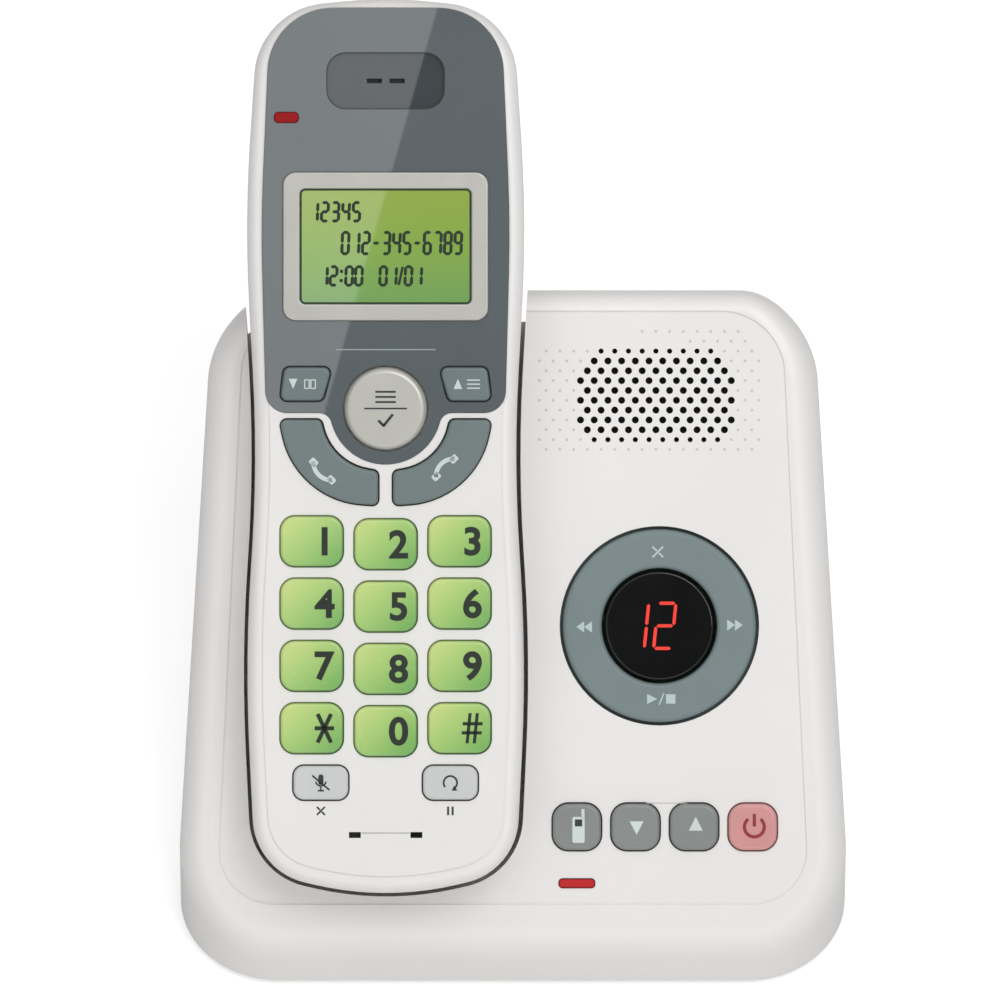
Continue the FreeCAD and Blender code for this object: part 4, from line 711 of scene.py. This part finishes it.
# the keys round the menu key
stamp("talk_sign", "talk_key", turned(handset_sign(3.7), 135), -35.3, 35.8, PALE_INK, "white_housing")
stamp("off_sign", "off_key", turned(handset_sign(3.7), 45), -12.6, 36.4, PALE_INK, "white_housing")
down = [triangle(0, 0, 1.6, 1.9, 180)]
up = [triangle(0, 0, 1.6, 1.9, 0)]
stamp("handset_down_sign", "handset_volume_down_key", down, -40.75, 51.95, PALE_INK, "white_housing")
book = book_sign(1.9, 0.22)
stamp("handset_book_sign", "handset_volume_down_key", book, -37.6, 51.9, PALE_INK, "white_housing")
stamp("handset_up_sign", "handset_volume_up_key", up, -10.2, 51.95, PALE_INK, "white_housing")
lines = list_sign(2.4, 0.75, 0.24)
stamp("handset_list_sign", "handset_volume_up_key", lines, -7.3, 51.9, PALE_INK, "white_housing")
x, y = middle_of("menu_select_key")
stamp("menu_list_sign", "menu_select_key", list_sign(3.8, 0.95, 0.36), x, y + 2.15, DARK_INK, "dark_plastic")
stamp("menu_line", "menu_select_key", [block(0, 0, 7.9, 0.3)], x, y, DARK_INK, "dark_plastic")
stamp("menu_tick_sign", "menu_select_key", tick_sign(2.7, 0.5), x, y - 2.2, DARK_INK, "dark_plastic")
stamp("panel_line", "handset_face_panel", [block(0, 0, 18.5, 0.24)], x, 58.3, FAINT_INK, "white_housing")
dish = middle_of("earpiece_receiver")
edge_line = outline_band(22.0, 10.6, 3.6, 0.18)
beside = (0, DISH_PROBE)
stamp("earpiece_edge", "handset_face_panel", edge_line, *dish, DARK_INK, "dark_plastic", probe=beside)

# the two keys at the lower end
x, y = middle_of("mute_key")
stamp("mute_sign", "mute_key", microphone_sign(3.2), x, y, DARK_INK, "dark_plastic")
line = [block(0, 0, 8.9, 0.24)]
stamp("microphone_line", "handset_front_housing", line, -23.6, -31.3, GREY_LINE, "white_housing")
stamp("erase_sign", "handset_front_housing", cross_sign(1.5, 0.32), x, -27.2, DARK_INK, "dark_plastic")
x, y = middle_of("redial_key")
stamp("redial_sign", "redial_key", repeat_sign(1.25, 0.34), x, y, DARK_INK, "dark_plastic")
pause = [block(side * 0.42, 0, 0.38, 1.6) for side in (-1, 1)]
stamp("pause_sign", "handset_front_housing", pause, x, -27.2, DARK_INK, "dark_plastic")

# the display, its rows from the top down: text, pitch, height and place
rows = (
    ("display_row_number", "12345", 1.95, 4.0, -32.9, 83.85),
    ("display_row_line", "012-345-6789", 1.9, 4.55, -20.6, 78.05),
    ("display_row_time", "12:00", 1.8, 4.0, -31.8, 71.95),
    ("display_row_date", "01/01", 1.8, 4.0, -20.8, 71.95),
)
for name, marks, pitch, height, x, y in rows:
    loops = figures(marks, 1.2, height - 0.6, 0.58, pitch, 0.04)
    stamp(name, "lcd_window", loops, x, y, SEGMENT_INK, "dark_plastic")
x, y = middle_of("lcd_window")
# painted shade: a dark band round the edge of the display window, where it lies below its frame
stamp("display_edge_shade", "lcd_window", outline_band(31.7, 21.3, 0.95, 0.3), x, y, SEGMENT_INK, "dark_plastic")

# the ring key and the message counter in its middle
RING_X, RING_Y = middle_of("ring_key_cap")
ring_signs = (
    ("ring_cross_sign", cross_sign(2.0, 0.34), -0.3, 13.75),
    ("ring_back_sign", double_arrow(-1, 2.9, 2.1), -14.0, -0.2),
    ("ring_forward_sign", double_arrow(1, 2.9, 2.1), 14.05, 0.15),
    ("ring_play_sign", [triangle(0, 0, 1.9, 1.9, -90)], -1.35, -13.6),
    ("ring_slash_sign", [bar((-0.45, -1.1), (0.45, 1.1), 0.24)], 0.4, -13.6),
    ("ring_stop_sign", [block(0, 0, 1.75, 1.75)], 2.1, -13.6),
)
for name, loops, x, y in ring_signs:
    stamp(name, "ring_key_cap", loops, RING_X + x, RING_Y + y, ICE_INK, "white_housing")
counter = []
for figure, place in (("1", -4.05), ("2", 1.0)):
    counter += [[(a + place, b) for a, b in loop] for loop in seven_segment(figure, 3.3, 8.4, 0.6, gap=0.12)]
x, y = middle_of("display_lens")
stamp("message_count", "display_lens", slanted(counter, 0.1), x, y, RED_GLOW, "red_lens")

# the row of keys on the deck
x, y = middle_of("find_handset_button")
stamp("find_sign", "find_handset_button", cordless_sign(4.4), x + 0.3, y - 0.1, PALE_INK, "white_housing")
window = [block(0, 0, 1.35, 1.3)]
stamp(
    "find_sign_window", "find_handset_button", window, x + 0.3, y + 0.75, DARK_INK, "dark_plastic",
    thickness=PRINT_THICKNESS * 2,
)
x, y = middle_of("volume_down_button")
arrow = [triangle(0, 0, 2.6, 2.5, 180)]
stamp("volume_down_sign", "volume_down_button", arrow, x + 0.2, y - 0.2, PALE_INK, "white_housing")
x, y = middle_of("volume_up_button")
arrow = [triangle(0, 0, 2.6, 2.6, 0)]
stamp("volume_up_sign", "volume_up_button", arrow, x + 0.3, y + 0.6, PALE_INK, "white_housing")
x, y = middle_of("answer_power_button")
stamp("power_key_sign", "answer_power_button", power_sign(1.85, 0.62), x + 0.3, y, RED_INK, "red_lens")
stamp("volume_line", "base_upper_housing", [block(0, 0, 7.6, 0.16)], 28.6, -25.95, GREY_LINE, "white_housing")

# blind dimples that carry the grille's pattern on over the deck, drawn as painted shade, flat discs a little
# darker than the deck: row from the top, first and last place
dimple_runs = [(-2, -1.0, 6.0), (-1, 2.5, 6.5), (0, -8.0, -5.0), (0, 5.0, 7.0), (10, -8.0, 7.0)]
for row in (1, 9):
    dimple_runs += [(row, -8.5, -5.5), (row, 5.5, 7.5)]
for row in (2, 4, 6, 8):
    dimple_runs += [(row, -8.0, -6.0), (row, 6.0, 7.0)]
for row in (3, 5, 7):
    dimple_runs += [(row, -8.5, -6.5), (row, 6.5, 7.5)]
dimples = []
for row, first, last in dimple_runs:
    for step in range(int(last - first) + 1):
        place = HOLE_PITCH * (first + step), -ROW_PITCH * row
        dimples.append(disc(*place, DIMPLE_RADIUS, 12))
above_grille = (0, ROW_PITCH * 3)
stamp(
    "grille_dimple_shade", "base_upper_housing", dimples, GRILLE_MIDDLE, GRILLE_TOP, DIMPLE_SHADE_INK, "white_housing",
    probe=above_grille,
)

# painted shade: a near-black sheet under the deck's face, behind the grille's holes, makes them dark
SHADE_SHEET_MIDDLE = GRILLE_TOP - ROW_PITCH * 4.5
shade_sheet = [block(0, 0, 31.0, 19.0, 5.0)]
black_shade_sheet = ink("black_shade_sheet", srgb(14, 15, 16), 0.9)
stamp(
    "grille_shade_sheet", "base_upper_housing", shade_sheet, GRILLE_MIDDLE, SHADE_SHEET_MIDDLE, black_shade_sheet, "dark_plastic",
    probe=(0, ROW_PITCH * 7.5), lift=-SHADE_SHEET_DEPTH,
)

# the floor, lights and camera

floor_mesh = bpy.data.meshes.new("floor")
corners = [(x * FLOOR_HALF, y * FLOOR_HALF, 0) for x, y in ((-1, -1), (1, -1), (1, 1), (-1, 1))]
floor_mesh.from_pydata(corners, [], [(0, 1, 2, 3)])
floor_white = moulded("floor_white", (0.78, 0.78, 0.78), 0.7, tone=0.005, grain=400.0, depth=0.001)
floor_white.set(Emission_Color=(1, 1, 1, 1))
seen = floor_white.tree.nodes.new("ShaderNodeLightPath").outputs["Is Camera Ray"]
seen_glow = floor_white.map_range(seen, 0.0, 1.0, 0.0, FLOOR_GLOW)
floor_white.link(seen_glow, floor_white.shader.inputs["Emission Strength"])
floor_mesh.materials.append(floor_white.material)
floor = bpy.data.objects.new("floor", floor_mesh)
bpy.context.scene.collection.objects.link(floor)

camera_data = bpy.data.cameras.new("camera")
camera_data.sensor_width = 36.0
camera_data.lens = camera_data.sensor_width * CAMERA_DISTANCE / VIEW_WIDTH
camera_data.clip_start = 0.05
camera_data.clip_end = 20.0
camera = bpy.data.objects.new("camera", camera_data)
bpy.context.scene.collection.objects.link(camera)
camera.location = in_frame(AIM[0], AIM[1], AIM[2] + CAMERA_DISTANCE)
camera.rotation_mode = "QUATERNION"
camera.rotation_quaternion = SLOPE.to_quaternion()
bpy.context.scene.camera = camera


def area_light(name, place, turn, width, height, watts):
    """A soft box that faces back down the slope's normal; place is along the slope, turn in degrees."""
    data = bpy.data.lights.new(name, "AREA")
    data.shape = "RECTANGLE"
    data.size = width * MM
    data.size_y = height * MM
    data.energy = watts
    light = bpy.data.objects.new(name, data)
    bpy.context.scene.collection.objects.link(light)
    light.location = in_frame(*place)
    spin = Matrix.Rotation(math.radians(turn), 3, "Z")
    light.rotation_mode = "QUATERNION"
    light.rotation_quaternion = (SLOPE @ spin).to_quaternion()
    return light


# A white card beside the camera: its edge is the line of gloss across the handset's face.
along = Vector((math.sin(math.radians(-CARD_TURN)), math.cos(math.radians(CARD_TURN))))
inward = Vector((-along.y, along.x))
card = CARD_EDGE + inward * CARD_WIDTH / 2
card_place = (AIM[0] + card.x, AIM[1] + card.y, AIM[2] + CAMERA_DISTANCE)
area_light("gloss_card", card_place, CARD_TURN, CARD_WIDTH, CARD_HEIGHT, 1.2)


def soft_box(name, place, size, watts):
    """A square light at a place along the slope, turned to face the machine."""
    light = area_light(name, place, 0.0, size, size, watts)
    toward = in_frame(*AIM) - light.location
    light.rotation_quaternion = toward.to_track_quat("-Z", "Y")


soft_box("key_light", (330.0, 420.0, 1080.0), 620.0, 3.0)


def ranged(tree, source, values):
    """A smooth run from one pair of values to another: from low, from high, to low, to high."""
    node = tree.nodes.new("ShaderNodeMapRange")
    node.interpolation_type = "SMOOTHSTEP"
    for name, value in zip(("From Min", "From Max", "To Min", "To Max"), values):
        node.inputs[name].default_value = value
    tree.links.new(source, node.inputs["Value"])
    return node.outputs["Result"]


def worked(tree, operation, *sources):
    """The outcome of a sum worked on its sources."""
    node = tree.nodes.new("ShaderNodeMath")
    node.operation = operation
    for index, source in enumerate(sources):
        tree.links.new(source, node.inputs[index])
    return node.outputs["Value"]


def studio_world():
    """White surroundings, brightest the way the deck faces, dim at both sides, dark round the camera."""
    world = bpy.data.worlds.new("studio")
    world.use_nodes = True
    tree = world.node_tree
    background = tree.nodes["Background"]
    background.inputs["Color"].default_value = (1, 1, 1, 1)
    place = tree.nodes.new("ShaderNodeTexCoord").outputs["Generated"]
    toward = tree.nodes.new("ShaderNodeVectorMath")
    toward.operation = "DOT_PRODUCT"
    tree.links.new(place, toward.inputs[0])
    toward.inputs[1].default_value = OUT
    facing = toward.outputs["Value"]
    flag = ranged(tree, facing, (0.93, 0.985, 1.0, 0.08))
    facing_share = ranged(tree, facing, (-0.15, 0.85, 0.26, 1.25))
    split = tree.nodes.new("ShaderNodeSeparateXYZ")
    tree.links.new(place, split.inputs["Vector"])
    side = worked(tree, "ABSOLUTE", split.outputs["X"])
    side_share = ranged(tree, side, (0.3, 0.95, 1.0, 0.25))
    share = worked(tree, "MULTIPLY", facing_share, side_share)
    tree.links.new(worked(tree, "MULTIPLY", flag, share), background.inputs["Strength"])
    return world


bpy.context.scene.world = studio_world()
bpy.context.scene.view_settings.view_transform = "Standard"
